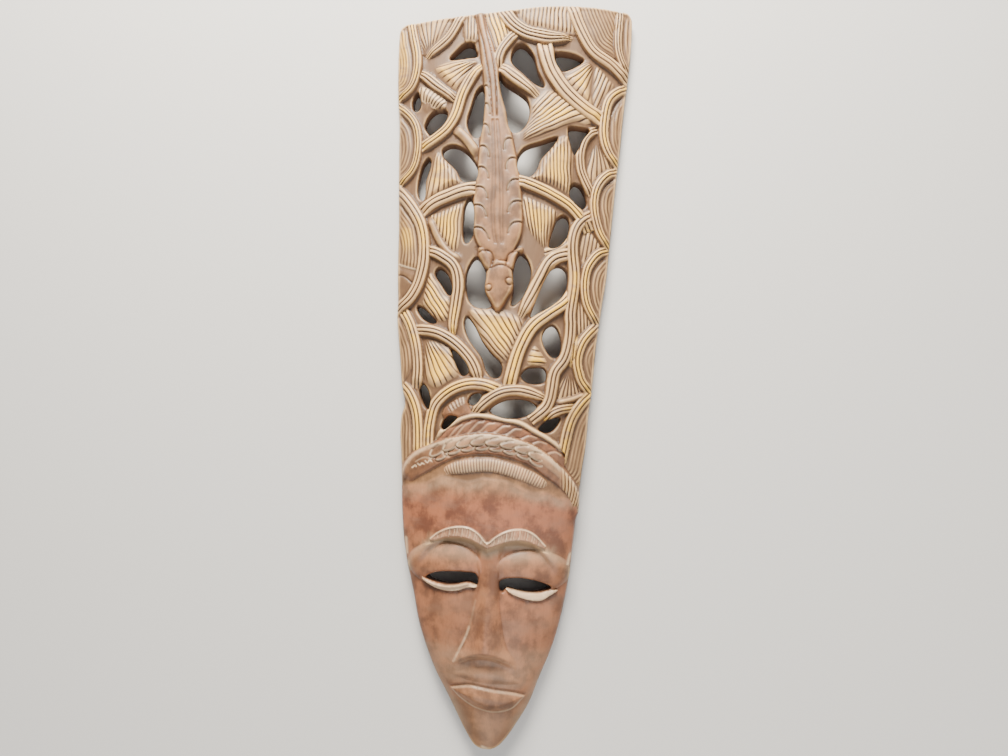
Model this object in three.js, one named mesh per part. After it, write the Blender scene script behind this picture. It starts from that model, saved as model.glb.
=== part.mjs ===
import * as THREE from "three";

// A tall carved wooden mask, lying on its back. Millimetres: +X to the right as the
// face is seen, +Y from chin to crest, +Z out of the face. The tables give x from the
// nose line and height above the chin. The last step centres the mask on the origin.

const FRONT_HEIGHTS = [[0, 30], [60, 40], [150, 48], [300, 52], [360, 50], [500, 46], [890, 44]];
const FRONT_CURVE = [[0, 8], [60, 16], [150, 24], [300, 26], [500, 26], [890, 27]];
const MIDDLE_LINE = [[-11, 10], [40, 9], [68, 6], [100, 4.5], [165, 1.5], [250, 0]];
const HALF_WIDTHS = [[-11, 22], [0, 28], [16, 35], [40, 47], [68, 60], [120, 79], [200, 97],
  [290, 106], [360, 110], [890, 148]];
const BOARD_THICKNESS = 19;
const REST_LAND = 11;
const LAND_SLOPE = 18;
const GROUND = -6.2;
const EDGE_ROUNDING = 16;
const OUTLINE_STEP = 13;
const OPENING_STEP = 8.5;
const STRAND_STEP = 10.5;
const FACE_STEP = 10;
const BACK_STEP = 42;
const CLOSEST_POINTS = 3.1;

// Plan outline, seen from the front: x from the nose line, height above the chin.
const OUTLINE = [
  [5, -11], [20, -9], [30, 0], [41, 16], [55, 40], [65, 68], [77.5, 100], [86.5, 132],
  [93, 165], [96.5, 191], [98, 214], [100, 240], [101.5, 256], [104, 262], [104.5, 291],
  [106.5, 312], [110.5, 345], [112.5, 382], [115, 405], [117, 432], [118.5, 460], [121, 482],
  [124.5, 515], [128.5, 545], [131.5, 590], [134.5, 635], [137.5, 680], [140, 706],
  [142.5, 745], [145, 780], [147.5, 803], [150, 840], [151, 880], [150, 892], [145, 898],
  [130, 897], [100, 895], [75, 892.5], [50, 889.5], [25, 886], [5, 882.5], [-12, 880],
  [-35, 877.5], [-60, 876], [-125, 875], [-143, 876], [-150.5, 871], [-151.5, 840],
  [-150, 805], [-147.5, 770], [-144.5, 748], [-142, 705], [-140, 668], [-138.5, 645],
  [-136, 610], [-134.5, 570], [-133, 540], [-130.5, 508], [-130.5, 490], [-126.5, 462],
  [-121.5, 430], [-118.5, 407], [-114, 390], [-112, 380], [-115.5, 369], [-116, 345],
  [-113, 322], [-110, 292], [-107.5, 259], [-103.5, 222], [-99.5, 203], [-94.5, 180],
  [-88.5, 160], [-78, 120], [-61.5, 80], [-38, 40], [-14.5, 1], [-6, -8.5],
];

// The openings carved right through, in the order that they fall from crest to eyes.
const OPENINGS = [
  [[-80, 820.5], [-68, 835], [-62, 839.5], [-55, 840], [-50, 837.5], [-47, 830], [-44.5, 822],
    [-56, 820]],
  [[8, 838], [15, 836], [26, 823], [32, 804], [41, 785], [39.5, 782], [28, 787], [13, 800],
    [0, 811.5], [-2, 819], [2, 833]],
  [[53, 828], [58, 830.5], [73, 830.5], [83, 828], [89, 824], [76, 812], [63, 806],
    [55.5, 811], [52, 821]],
  [[-37, 781], [-33, 771], [-32, 745], [-34, 721], [-38.5, 714.5], [-45, 716.5], [-53, 733],
    [-49, 755], [-42.5, 776]],
  [[-16, 796], [-10, 788], [10, 774.5], [20, 766], [24, 752], [21, 733], [12, 722.5],
    [5, 721.5], [0, 726], [-5, 748], [-12.5, 772]],
  [[-122, 781.5], [-118, 776], [-115.5, 764], [-118, 757.5], [-122, 756], [-126.5, 761],
    [-127, 772]],
  [[-99, 752], [-91, 755], [-84, 754], [-79.5, 750], [-80, 741], [-89, 729.5], [-98.5, 720.5],
    [-104, 726], [-108.5, 734], [-105, 745]],
  [[-83, 700], [-78, 705], [-70, 706.5], [-58, 702], [-45, 689.5], [-36, 673], [-37, 661],
    [-45, 657], [-54.5, 659], [-64, 674], [-75, 685], [-80.5, 691]],
  [[-101, 692], [-97.5, 688], [-97.5, 680], [-102.5, 662], [-103, 641], [-106, 637.5],
    [-111, 643], [-113, 656], [-107.5, 684]],
  [[60, 719], [55, 707.5], [41, 689.5], [35.5, 674.5], [28, 666], [20.5, 665.5], [13, 674],
    [13, 691], [20, 702], [40, 711.5]],
  [[74, 733.5], [82, 735.5], [100, 733.5], [91, 716.5], [82.5, 699], [77, 710.5], [73.5, 725]],
  [[84, 663], [91, 660], [98, 647], [99.5, 638], [95, 631.5], [89, 633], [79, 645],
    [78, 655]],
  [[71.5, 621], [76.5, 618], [79, 608], [75, 589], [66, 579], [57, 577], [55, 582],
    [60, 604], [65, 616.5]],
  [[-44.5, 637], [-39.5, 628], [-37, 602], [-39.5, 586], [-46, 579.5], [-50, 588],
    [-51, 612], [-49, 630]],
  [[-32.5, 562], [-24, 553], [-18.5, 538], [-19.5, 521], [-11.5, 503], [-15, 500],
    [-28, 500.5], [-38, 508], [-43.5, 530], [-41.5, 549]],
  [[20.5, 569], [29, 562.5], [35, 546], [31, 526], [23, 510.5], [13.5, 503.5], [15, 525],
    [13.5, 548]],
  [[69, 557], [76, 553], [79.5, 540], [75, 520], [64, 508], [46, 495.5], [37, 491],
    [41, 509], [51, 537], [60, 553.5]],
  [[-78.5, 550], [-69, 544], [-62.5, 532], [-60, 517.5], [-63, 515], [-74, 528.5],
    [-83, 543]],
  [[-103, 503], [-97, 501], [-86, 491.5], [-77, 482], [-82, 480.5], [-95, 486.5],
    [-104, 499]],
  [[-40, 489], [-32, 481], [-19, 458.5], [-7, 444], [3, 435], [6, 427], [3, 417],
    [-5, 416], [-13, 424], [-19, 439], [-37, 463.5], [-42.5, 480]],
  [[64, 483.5], [71, 476], [75, 459], [73, 447.5], [67, 443.5], [59, 449.5], [52, 466],
    [56, 479]],
  [[35, 429], [44, 431], [54, 431], [58, 426], [57, 414.5], [48, 411], [36, 412],
    [28.5, 419]],
  [[-56.5, 449], [-45, 440.5], [-35, 428], [-35, 419.5], [-41, 417], [-49, 427.5]],
  [[-91, 406.5], [-84, 400.5], [-79, 384.5], [-80, 375], [-85, 378], [-93, 393],
    [-94, 403]],
  [[-29.5, 394], [-23, 397], [-17, 396], [-18, 388.5], [-25, 382], [-32, 385]],
  [[-6, 377], [1, 384.5], [14, 390.5], [28, 392], [42, 389.5], [49, 383.5], [42, 375],
    [25, 369], [8, 369]],
  [[-56, 369], [-44.5, 367.5], [-50, 359], [-61, 351.5], [-63, 356]],
  [[77, 372.5], [73, 362], [66, 355], [57, 354.5], [52.5, 358], [62, 369]],
  [[-72, 179.5], [-61, 186.5], [-43, 190], [-23, 190.5], [-13, 189], [-10, 183], [-11, 175.5],
    [-20, 179], [-32, 176], [-50, 174]],
  [[16, 182], [21, 185], [32, 187], [46, 186.5], [59, 183.5], [69, 179.5], [75, 175.5],
    [62, 171], [48, 170], [36, 171.5], [24, 174.5], [18, 169.5], [15, 174]],
];

// Carved strands: width, height against the front surface, then the centre line.
// A third number in a point is the width there.
const STRANDS = [
  [10, 0.5, [[-136, 878], [-131, 858], [-124, 829], [-123, 812], [-127, 793], [-133, 784],
    [-150, 774]]],
  [11, -0.5, [[-66, 880], [-69, 873], [-76, 858], [-84, 846.5], [-94, 838],
    [-113, 824, 6]]],
  [11, 0, [[-121, 808, 8], [-106, 795], [-93, 783], [-67, 763, 8]]],
  [12, 0.5, [[-38, 809, 8], [-51, 790], [-61, 770], [-67, 747], [-71, 737], [-79, 725],
    [-97, 712], [-113, 704]]],
  [10, -1.5, [[-72, 729], [-60, 719], [-50, 708.5], [-35, 688]]],
  [9, 0, [[-148, 767], [-129, 748], [-122, 738], [-117.5, 727], [-115, 707], [-118, 685],
    [-123, 675], [-140, 659]]],
  [15, 0.5, [[-106, 621], [-96, 628], [-83, 635.5], [-68, 641], [-53, 645.5], [-34, 649]]],
  [13, 1, [[-143, 655], [-125, 636], [-108, 611], [-102.5, 598], [-99, 578], [-98.5, 557],
    [-103, 532], [-108.5, 520], [-116, 510], [-134, 496]]],
  [12, 0, [[-97, 573], [-85, 569], [-74, 563], [-63, 555], [-56, 545], [-52, 527],
    [-53.5, 507], [-56, 479, 10], [-55, 462, 5]]],
  [8, -1.5, [[-96, 617], [-83, 590], [-75, 577], [-66, 567], [-48, 556]]],
  [12, 0, [[-124, 500], [-111, 478], [-102, 454], [-97, 426], [-98, 400]]],
  [12, 0.5, [[-106, 473], [-82, 470.5], [-60, 461.5], [-40, 445.5], [-26, 426],
    [-20, 409, 8]]],
  [12, 0.5, [[-77, 320], [-78, 355], [-73, 379], [-65.5, 390], [-55, 399], [-43, 405],
    [-29, 408], [-15, 407.5], [8, 401]]],
  [11, 1, [[-25, 372, 7], [-18, 381], [-9, 389.5], [1, 396.5], [12, 401], [25, 402.5],
    [38, 401], [62, 394, 6]]],
  [12, 0, [[-117, 404], [-108, 396], [-101, 385], [-96, 373], [-93, 360], [-90, 318]]],
  [14, 0.5, [[86, 524], [78, 513], [58, 497], [39, 479], [26, 454], [19, 427], [15, 404]]],
  [14, 0, [[88, 573], [75, 570.5], [64, 566], [56, 558], [45, 535], [35, 512],
    [24, 489, 7]]],
  [9, -1, [[48, 571], [58, 574], [68, 579], [76, 586], [80, 597]]],
  [12, 1, [[108, 626], [99, 619], [91, 610], [86, 598], [84, 585], [84.5, 572], [88, 547],
    [88, 534], [84.5, 497], [85.5, 484], [84, 459], [79, 441.5], [69, 426], [65.5, 405],
    [63.5, 393], [59, 383], [42, 367.5]]],
  [13, 0.5, [[10, 660.5], [26, 655.5], [54, 645.5], [80, 631], [98, 613], [104, 603]]],
  [10, 0, [[131, 585], [117, 577], [109, 567], [103.5, 556], [101, 536], [103.5, 517],
    [108, 506], [120, 488]]],
  [11, 0, [[121, 490], [104, 470], [99, 460], [96, 449], [95.5, 438], [98, 428], [102, 418],
    [115, 403]]],
  [8, 0, [[92, 474], [90, 450], [89, 434]]],
  [12, 0, [[116, 405], [106, 395], [98, 384], [92, 373], [88, 361], [80, 318]]],
  [10, -0.5, [[58, 368], [66, 376], [76, 381.5], [99, 387]]],
  [6, -1, [[68, 389], [92, 396], [114, 406]]],
  [10, -0.5, [[111, 737], [101, 729], [94, 719], [89, 700], [91, 680], [96, 668],
    [108, 646]]],
  [10, 0.5, [[138, 686], [127, 680], [119, 672], [113, 661.5], [109.5, 649], [109, 636],
    [111, 623], [119, 601], [132, 585]]],
  [11, 0, [[147, 798], [128, 782], [122, 771], [118, 743], [118, 731], [121, 717],
    [127, 705], [141, 691]]],
  [17, 1, [[39, 838], [42, 824], [46.5, 810], [53, 797], [70, 776], [93, 759], [117, 747]]],
  [16, 0.5, [[-15, 882], [-9, 871], [-2, 862], [8, 854.5], [20, 849.5], [40, 846.5],
    [56, 847, 12], [74, 850, 5]]],
  [14, 0.5, [[71, 894], [79, 872], [90, 850], [97, 840], [106, 832.5], [127, 822],
    [149, 805]]],
  [9, 0, [[134, 898], [132.5, 857], [134, 842], [139, 829], [148, 815]]],
  [11, 0, [[4, 853], [-10, 834], [-15, 825], [-18, 814], [-18, 801]]],
  [14, 0, [[-17, 807, 10], [2, 793], [34, 769, 8]]],
];

// The lizard, head down: tail and body, two front legs, head.
const LIZARD = [
  [20, 0.5, [[-45, 879, 9], [-39, 853, 12], [-33, 831, 16], [-28, 808, 19], [-23, 776, 18],
    [-18.5, 742, 27], [-14.5, 704, 39], [-11, 665, 49], [-9.5, 630, 57], [-8.5, 605, 58],
    [-6, 583, 50], [-4, 570, 34], [-3, 558, 16]]],
  [12, 1, [[-27, 571, 4], [-22, 562, 12], [-17, 553, 11], [-14, 546, 4]]],
  [12, 1, [[21, 572, 4], [15.5, 563, 12], [11, 554, 11], [8.5, 547, 4]]],
  [26, 2.5, [[0, 555, 19], [-2, 544, 27], [-3, 531, 32], [-3.5, 518, 27], [-3, 508, 15],
    [-3, 499, 5]]],
];

// Leaves and lined fields: height of the middle, height of the edge, then the outline.
const LEAVES = [
  [-2.5, -5.5, [[-100, 810], [-89, 816], [-76, 818.5], [-59, 819.5], [-45, 818], [-41, 812],
    [-52, 798], [-68, 776], [-82, 785]]],
  [-4.4, -5.6, [[-119, 786], [-104, 780], [-80, 760], [-80, 755], [-91, 757], [-99, 754],
    [-108, 750], [-114, 758], [-114, 768], [-119, 779]]],
  [-2.2, -4.6, [[-118, 788], [-104, 782], [-82, 764], [-82, 756], [-90, 754], [-100, 757],
    [-109, 763], [-117, 772]]],
  [-2, -5.5, [[-91, 699], [-86, 697], [-69, 678.5], [-56, 656], [-72, 649], [-101, 634],
    [-101.5, 661], [-96, 686]]],
  [-3, -6, [[-96, 617], [-81, 622], [-52, 631], [-51, 605], [-52, 578], [-60, 566],
    [-76, 580]]],
  [-2.5, -6, [[-88, 548], [-83, 542], [-68, 516.5], [-60, 512], [-61, 484], [-70, 480.5],
    [-80, 485], [-98, 503.5], [-98, 515], [-93, 541]]],
  [-2.5, -5.5, [[-89, 460], [-75, 459], [-54, 447], [-44, 419], [-57, 408], [-75, 400],
    [-89, 412], [-91, 425]]],
  [-2, -5, [[-38, 498], [-7, 498.5], [5, 498], [21, 493], [30, 485], [26, 466], [14, 438],
    [6, 435], [-9, 446], [-31, 480]]],
  [-3, -6, [[43, 459], [57, 445], [61, 437], [54, 432.5], [35, 432], [33, 440]]],
  [-3, -6, [[19, 641], [38, 637], [65, 624], [58, 597], [50, 575], [33, 590], [20.5, 612]]],
  [-1.5, -5.5, [[61, 718], [73, 723], [82, 696], [82, 683], [78, 647], [55, 655], [21, 664],
    [33, 670], [42, 690]]],
  [-2.5, -5.5, [[46, 780], [34, 770], [25, 757], [25, 742], [15, 719], [17, 709], [45, 718],
    [72, 733], [84, 739], [100, 738], [106, 746], [78, 766]]],
  [-2.5, -5.5, [[88, 822], [96, 825], [103, 819], [100, 788], [104, 762], [85, 773],
    [66, 798], [70, 804]]],
  [-4, -5.5, [[104, 820], [126, 804], [131, 799], [115, 772], [112, 758], [104, 760],
    [100, 775], [101, 789]]],
  [-4.5, -6, [[108, 720], [115, 717], [134, 688], [115, 675], [103, 657], [96, 687],
    [100, 704]]],
  [-4.5, -6, [[101, 608], [111, 602], [123, 587], [108, 570], [98, 558], [91, 579],
    [95.5, 602]]],
  [-4, -5.5, [[92, 522], [101, 513], [113, 492], [96, 471], [90, 472], [89, 498]]],
  [-4.5, -6, [[86, 430], [95, 422], [104, 403], [91, 395], [71, 390], [70, 404], [80, 427]]],
  [-3, -4.5, [[-151, 871], [-141, 871], [-134, 848], [-130, 826], [-130, 806], [-134, 793],
    [-149, 779]]],
  [-3, -4.5, [[-130, 875], [-80, 875.5], [-86, 856], [-97, 844], [-116, 829], [-126, 864]]],
  [-3, -4.5, [[-62, 876], [-51, 876.5], [-44, 842], [-60, 841]]],
  [-3, -4.5, [[-40, 877.5], [-20, 879.5], [-3, 852], [-19, 826], [-32, 852]]],
  [-3, -4.5, [[2, 882], [70, 892], [80, 862], [78, 855], [33, 857], [12, 862]]],
  [-3, -4.5, [[80, 893], [130, 896], [128, 850], [130, 834], [116, 838], [104, 844],
    [88, 870]]],
  [-3, -4.5, [[140, 896], [149, 888], [149, 840], [147, 818], [139, 840], [138, 860]]],
  [-3, -4.5, [[145, 790], [141, 745], [138, 700], [128, 712], [124, 730], [125, 750]]],
  [-3, -4.5, [[136, 676], [132, 635], [129, 592], [122, 605], [115, 640], [118, 656]]],
  [-3.5, -5, [[129, 578], [125, 530], [120, 494], [112, 508], [107, 532], [112, 560]]],
  [-3, -4.5, [[118, 480], [116, 445], [114, 408], [106, 420], [102, 440], [108, 465]]],
  [-3, -4.5, [[-146, 760], [-141, 705], [-139, 665], [-128, 675], [-121, 705],
    [-126, 733]]],
  [-3, -4.5, [[-137, 638], [-134, 570], [-133, 557], [-107, 549], [-105, 570], [-114, 610]]],
  [-4, -5, [[-133, 554], [-107, 546], [-109, 533], [-129, 508]]],
  [-3, -4.5, [[-129, 488], [-124, 450], [-118, 408], [-108, 420], [-103, 440],
    [-115, 480]]],
  [-3, -4.5, [[-114, 388], [-115, 345], [-109, 300], [-92, 312], [-99, 345],
    [-106, 378]]],
  [-3, -4.5, [[112, 392], [110, 345], [104, 285], [86, 310], [92, 345], [101, 380]]],
];

// The headband: the scaled band, the fringe under it, and the thin rim above it.
const BAND = [[-106, 287, 9], [-100, 299, 20], [-90, 310, 26], [-76, 319, 26], [-60, 327, 23],
  [-45, 333, 21], [-15, 338.5, 21], [5, 338, 21], [23, 335, 21], [41, 329.5, 21],
  [55, 322, 20], [69, 312, 19], [82, 301.5, 17], [92, 291, 15], [99, 278, 12],
  [103, 262, 9]];
const FRINGE = [[-59, 301, 5], [-50, 306, 10], [-38, 309.5, 14], [-5, 314, 14], [12, 312, 14],
  [44, 302.5, 13.5], [58, 296, 11], [70, 292, 4]];
const RIM = [[-69, 338], [-61, 351], [-45, 362.5], [-33, 368], [-20, 370.5], [13, 367.5],
  [31, 365.5], [45, 361.5], [66, 352], [84, 337]];

// Features of the face.
const BROW = [[-98, 190], [-84, 207], [-68, 223], [-50, 231], [-34, 232.5], [-20, 230],
  [-8, 224], [0, 220], [8, 224], [20, 229], [34, 231], [50, 228.5], [66, 219], [82, 206],
  [98, 194]];
const BROW_DROP = 8;
const LIDS = [{ x: -51, h: 196, a: 45, b: 27 }, { x: 54, h: 194, a: 44, b: 25 }];
const LID_HEIGHT = 8.5;
const LEDGES = [[6, 3.5, [[-75, 178], [-63, 172], [-48, 169.5], [-34, 171], [-12, 175]]],
  [7, 3.5, [[26, 173], [40, 168], [54, 166], [66, 167], [82, 172]]]];
const NOSE_CENTRE = [[86, 2], [120, 2], [180, 3]];
const NOSE_HALF_WIDTH = [[84, 37], [95, 34], [106, 26], [120, 21], [135, 18], [155, 14],
  [180, 12]];
const NOSE_HEIGHT = [[84, 13], [106, 15], [120, 14], [150, 10], [180, 5], [205, 2]];
const NOSE_BASE = 102;
const UPPER_LIP = [20, 2.6, [[-32, 73, 3], [-20, 75.5, 12], [-4, 77.5, 20], [14, 77, 21],
  [30, 73, 14], [43, 68, 3]]];
const LOWER_LIP = { x: 7, h: 48, a: 42, b: 12 };
const MOUTH = [[-36, 56], [-24, 60], [-12, 62.5], [4, 61], [20, 58.5], [49, 52]];

function lerpTable(table, value) {
  if (value <= table[0][0]) return table[0][1];
  for (let i = 1; i < table.length; i += 1) {
    const [x1, y1] = table[i];
    const [x0, y0] = table[i - 1];
    if (value <= x1) return y0 + ((y1 - y0) * (value - x0)) / (x1 - x0);
  }
  return table[table.length - 1][1];
}

const clamp = THREE.MathUtils.clamp;

function smooth(value) {
  const t = clamp(value, 0, 1);
  return t * t * (3 - 2 * t);
}

// A smooth curve through the given points, cut into steps of about one length.
function resample(points, step, closed = false) {
  const vectors = points.map(([x, y, w]) => new THREE.Vector3(x, y, w ?? 0));
  const curve = new THREE.CatmullRomCurve3(vectors, closed, "centripetal");
  curve.arcLengthDivisions = points.length * 12;
  const count = Math.max(closed ? 8 : 2, Math.round(curve.getLength() / step));
  const samples = curve.getSpacedPoints(count);
  if (closed) samples.pop();
  return samples.map((p) => [p.x, p.y, p.z]);
}

function segmentDistance(x, y, a, b) {
  const dx = b[0] - a[0];
  const dy = b[1] - a[1];
  const t = clamp(((x - a[0]) * dx + (y - a[1]) * dy) / (dx * dx + dy * dy), 0, 1);
  const distance = Math.hypot(x - a[0] - t * dx, y - a[1] - t * dy);
  return { distance, width: a[2] + (b[2] - a[2]) * t };
}

function nearestOnPath(path, x, y) {
  let best = { distance: Infinity, width: 0 };
  for (let i = 1; i < path.length; i += 1) {
    const hit = segmentDistance(x, y, path[i - 1], path[i]);
    if (hit.distance < best.distance) best = hit;
  }
  return best;
}

function inside(loop, x, y) {
  let odd = false;
  for (let i = 0, j = loop.length - 1; i < loop.length; j = i, i += 1) {
    const [xi, yi] = loop[i];
    const [xj, yj] = loop[j];
    if (yi > y !== yj > y && x < ((xj - xi) * (y - yi)) / (yj - yi) + xi) odd = !odd;
  }
  return odd;
}

function loopDistance(loop, x, y) {
  let best = Infinity;
  for (let i = 0, j = loop.length - 1; i < loop.length; j = i, i += 1) {
    best = Math.min(best, segmentDistance(x, y, loop[j], loop[i]).distance);
  }
  return best;
}

// The plain convex front that every carved height is measured from.
function frontSurface(x, h) {
  const offset = Math.abs(x - lerpTable(MIDDLE_LINE, h));
  const across = Math.min(1.1, offset / lerpTable(HALF_WIDTHS, h));
  return lerpTable(FRONT_HEIGHTS, h) - lerpTable(FRONT_CURVE, h) * across ** 2;
}

function asStrand([width, lift, points]) {
  const path = resample(points.map(([x, h, w]) => [x, h, w ?? width]), 4);
  return { lift, path, points };
}

const strands = [...STRANDS, ...LIZARD].map(asStrand);
const band = asStrand([20, 3, BAND]);
const fringe = asStrand([14, 2, FRINGE]);
const rim = asStrand([5, -0.5, RIM]);
const ledges = LEDGES.map(asStrand);
const upperLip = asStrand(UPPER_LIP);
const mouth = resample(MOUTH, 4);
const bandHeights = band.path.map(([x, h]) => [x, h]);

// A rounded bar: its crown stands at the lift and its flanks fall steeply.
function strandHeight(strand, x, h) {
  const { distance, width } = nearestOnPath(strand.path, x, h);
  const s = distance / (width / 2);
  if (s <= 1) return strand.lift - 2 * s * s;
  return strand.lift - 2 - (distance - width / 2) * 3;
}

function leafHeight([top, edge, loop], x, h) {
  if (!inside(loop, x, h)) return -Infinity;
  return edge + (top - edge) * smooth(loopDistance(loop, x, h) / 7);
}

function crestRelief(x, h) {
  let height = GROUND;
  for (const leaf of LEAVES) height = Math.max(height, leafHeight(leaf, x, h));
  for (const strand of strands) height = Math.max(height, strandHeight(strand, x, h));
  if (h < 372) height = Math.max(height, strandHeight(rim, x, h), h < 366 ? -3 : GROUND);
  return height;
}

function dome({ x, h, a, b }, px, ph) {
  const r = ((px - x) / a) ** 2 + ((ph - h) / b) ** 2;
  return Math.sqrt(Math.max(0, 1 - r));
}

function noseRelief(x, h) {
  const across = Math.abs(x - lerpTable(NOSE_CENTRE, h)) / lerpTable(NOSE_HALF_WIDTH, h);
  const base = NOSE_BASE - 16 * across * across;
  const bridge = 1 - smooth((h - 185) / 35);
  const body = Math.max(0, 1 - across ** 1.6) * smooth((h - base + 9) / 14) * bridge;
  return lerpTable(NOSE_HEIGHT, h) * body;
}

function faceRelief(x, h) {
  const below = smooth((lerpTable(BROW, x) - h) / 7);
  const nose = 1 - smooth((Math.abs(x - 2) - 8) / 10);
  const cheek = smooth((182 - h) / 45);
  const side = 1 - 0.6 * smooth((Math.abs(x) - 62) / 30);
  let height = 2.5 * Math.exp(-(((h - 268) / 35) ** 2)) - 1.5;
  height -= BROW_DROP * below * side * (1 - 0.45 * nose) * (1 - 0.75 * cheek);
  height += LID_HEIGHT * Math.max(...LIDS.map((lid) => dome(lid, x, h))) ** 1.3;
  height += noseRelief(x, h);
  height += 5 * dome(LOWER_LIP, x, h);
  height -= 1.5 * Math.exp(-((nearestOnPath(mouth, x, h).distance / 3.5) ** 2));
  for (const ledge of ledges) {
    const { distance, width } = nearestOnPath(ledge.path, x, h);
    height += ledge.lift * Math.max(0, 1 - (distance / width) ** 2);
  }
  const lip = nearestOnPath(upperLip.path, x, h);
  const swell = Math.max(0, 1 - (lip.distance / (lip.width / 2)) ** 2) ** 1.5;
  height += upperLip.lift * swell * Math.min(1, lip.width / 18);
  return height;
}

const outline = resample(OUTLINE, OUTLINE_STEP, true);
const openings = OPENINGS.map((loop) => resample(loop, OPENING_STEP, true));
const centre = [0, 1].map((axis) => {
  const values = outline.map((point) => point[axis]);
  return (Math.min(...values) + Math.max(...values)) / 2;
});

function relief(x, h) {
  const bandLine = lerpTable(bandHeights, x);
  const edge = 1 - clamp(loopDistance(outline, x, h) / EDGE_ROUNDING, 0, 1);
  if (h > bandLine) return Math.max(crestRelief(x, h), strandHeight(band, x, h)) - edge ** 4;
  const face = Math.max(faceRelief(x, h), strandHeight(band, x, h), strandHeight(fringe, x, h));
  return face - 3 * edge ** 2;
}

const frontHeight = (x, h) => frontSurface(x, h) + relief(x, h);

// The back is hollowed to an even thickness behind a flat land that the mask rests on.
function backHeight(x, h) {
  const hollow = Math.max(0, frontSurface(x, h) - BOARD_THICKNESS);
  return hollow * smooth((loopDistance(outline, x, h) - REST_LAND) / LAND_SLOPE);
}

// A net of triangles over a flat outline with holes. Points are dropped in one at a
// time, and shared edges are turned until each triangle is as even as it can be.
class Net {
  constructor(outer, holes) {
    const flat = (loop) => loop.map(([x, y]) => new THREE.Vector2(x, y));
    this.points = [outer, ...holes].flat().map(([x, y]) => [x, y]);
    this.triangles = [];
    this.sides = new Map();
    for (const t of THREE.ShapeUtils.triangulateShape(flat(outer), holes.map(flat))) {
      this.add(this.area(...t) > 0 ? t : [t[0], t[2], t[1]]);
    }
    this.settle(this.triangles.flatMap(([a, b, c]) => [[a, b], [b, c], [c, a]]));
  }

  area(a, b, c) {
    const [ax, ay] = this.points[a];
    const [bx, by] = this.points[b];
    const [cx, cy] = this.points[c];
    return (bx - ax) * (cy - ay) - (by - ay) * (cx - ax);
  }

  add(triangle, at = this.triangles.length) {
    this.triangles[at] = triangle;
    const [a, b, c] = triangle;
    for (const [p, q] of [[a, b], [b, c], [c, a]]) this.sides.set(`${p},${q}`, at);
  }

  across(a, b) {
    const at = this.sides.get(`${b},${a}`);
    if (at === undefined) return null;
    return { at, far: this.triangles[at].find((v) => v !== a && v !== b) };
  }

  inCircle(a, b, c, d) {
    const [dx, dy] = this.points[d];
    const rows = [a, b, c].map((v) => {
      const x = this.points[v][0] - dx;
      const y = this.points[v][1] - dy;
      return [x, y, x * x + y * y];
    });
    return new THREE.Matrix3().set(...rows.flat()).determinant() > 1e-7;
  }

  settle(queue) {
    while (queue.length) {
      const [a, b] = queue.pop();
      const at = this.sides.get(`${a},${b}`);
      const other = this.across(a, b);
      if (at === undefined || !other) continue;
      const near = this.triangles[at].find((v) => v !== a && v !== b);
      if (near === undefined || !this.triangles[at].includes(a)) continue;
      if (!this.inCircle(a, b, near, other.far)) continue;
      if (this.area(near, other.far, b) < 1e-6 || this.area(other.far, near, a) < 1e-6) continue;
      this.sides.delete(`${a},${b}`);
      this.sides.delete(`${b},${a}`);
      this.add([near, a, other.far], at);
      this.add([other.far, b, near], other.at);
      queue.push([a, other.far], [other.far, b], [b, near], [near, a]);
    }
  }

  insert(x, y) {
    const p = this.points.push([x, y]) - 1;
    const at = this.triangles.findIndex(([a, b, c]) => this.area(a, b, p) > 0.2
      && this.area(b, c, p) > 0.2 && this.area(c, a, p) > 0.2);
    if (at < 0) {
      this.points.pop();
      return;
    }
    const [a, b, c] = this.triangles[at];
    this.add([a, b, p], at);
    this.add([b, c, p]);
    this.add([c, a, p]);
    this.settle([[a, b], [b, c], [c, a]]);
  }
}

// Keeps the points of a wish list that lie on the mask and apart from those before.
function keepApart(wishes, gap) {
  const kept = [...outline, ...openings.flat()].map(([x, y]) => [x, y]);
  const first = kept.length;
  for (const [x, y] of wishes) {
    if (!inside(outline, x, y) || openings.some((loop) => inside(loop, x, y))) continue;
    if (kept.some(([px, py]) => Math.hypot(px - x, py - y) < gap)) continue;
    kept.push([x, y]);
  }
  return kept.slice(first);
}

function besidePath({ points }, width, offsets, step) {
  const path = resample(points.map(([x, h, w]) => [x, h, w ?? width]), step);
  return path.flatMap(([x, y, w], i) => {
    const [ax, ay] = path[Math.max(0, i - 1)];
    const [bx, by] = path[Math.min(path.length - 1, i + 1)];
    const length = Math.hypot(bx - ax, by - ay);
    const [nx, ny] = [(ay - by) / length, (bx - ax) / length];
    return offsets.map((o) => {
      const d = Math.sign(o) * (Math.abs(o) * w / 2 + (Math.abs(o) === 1 ? 0.2 : 0));
      const foot = Math.abs(o) > 1 ? Math.sign(o) * (w / 2 + 1.9) : d;
      return [x + nx * foot, y + ny * foot];
    });
  });
}

function aroundLoop(loop, out) {
  return loop.map(([x, y], i) => {
    const [ax, ay] = loop[(i + loop.length - 1) % loop.length];
    const [bx, by] = loop[(i + 1) % loop.length];
    const length = Math.hypot(bx - ax, by - ay);
    return [x + ((ay - by) / length) * out, y + ((bx - ax) / length) * out];
  });
}

function grid(step, low, high) {
  const points = [];
  for (let row = 0, y = low; y < high; row += 1, y += step * 0.87) {
    for (let x = -150 + (row % 2) * (step / 2); x < 150; x += step) points.push([x, y]);
  }
  return points;
}

function turnedInward(loop) {
  const area = THREE.ShapeUtils.area(loop.map(([x, y]) => new THREE.Vector2(x, y)));
  return area > 0 ? 1 : -1;
}

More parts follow.
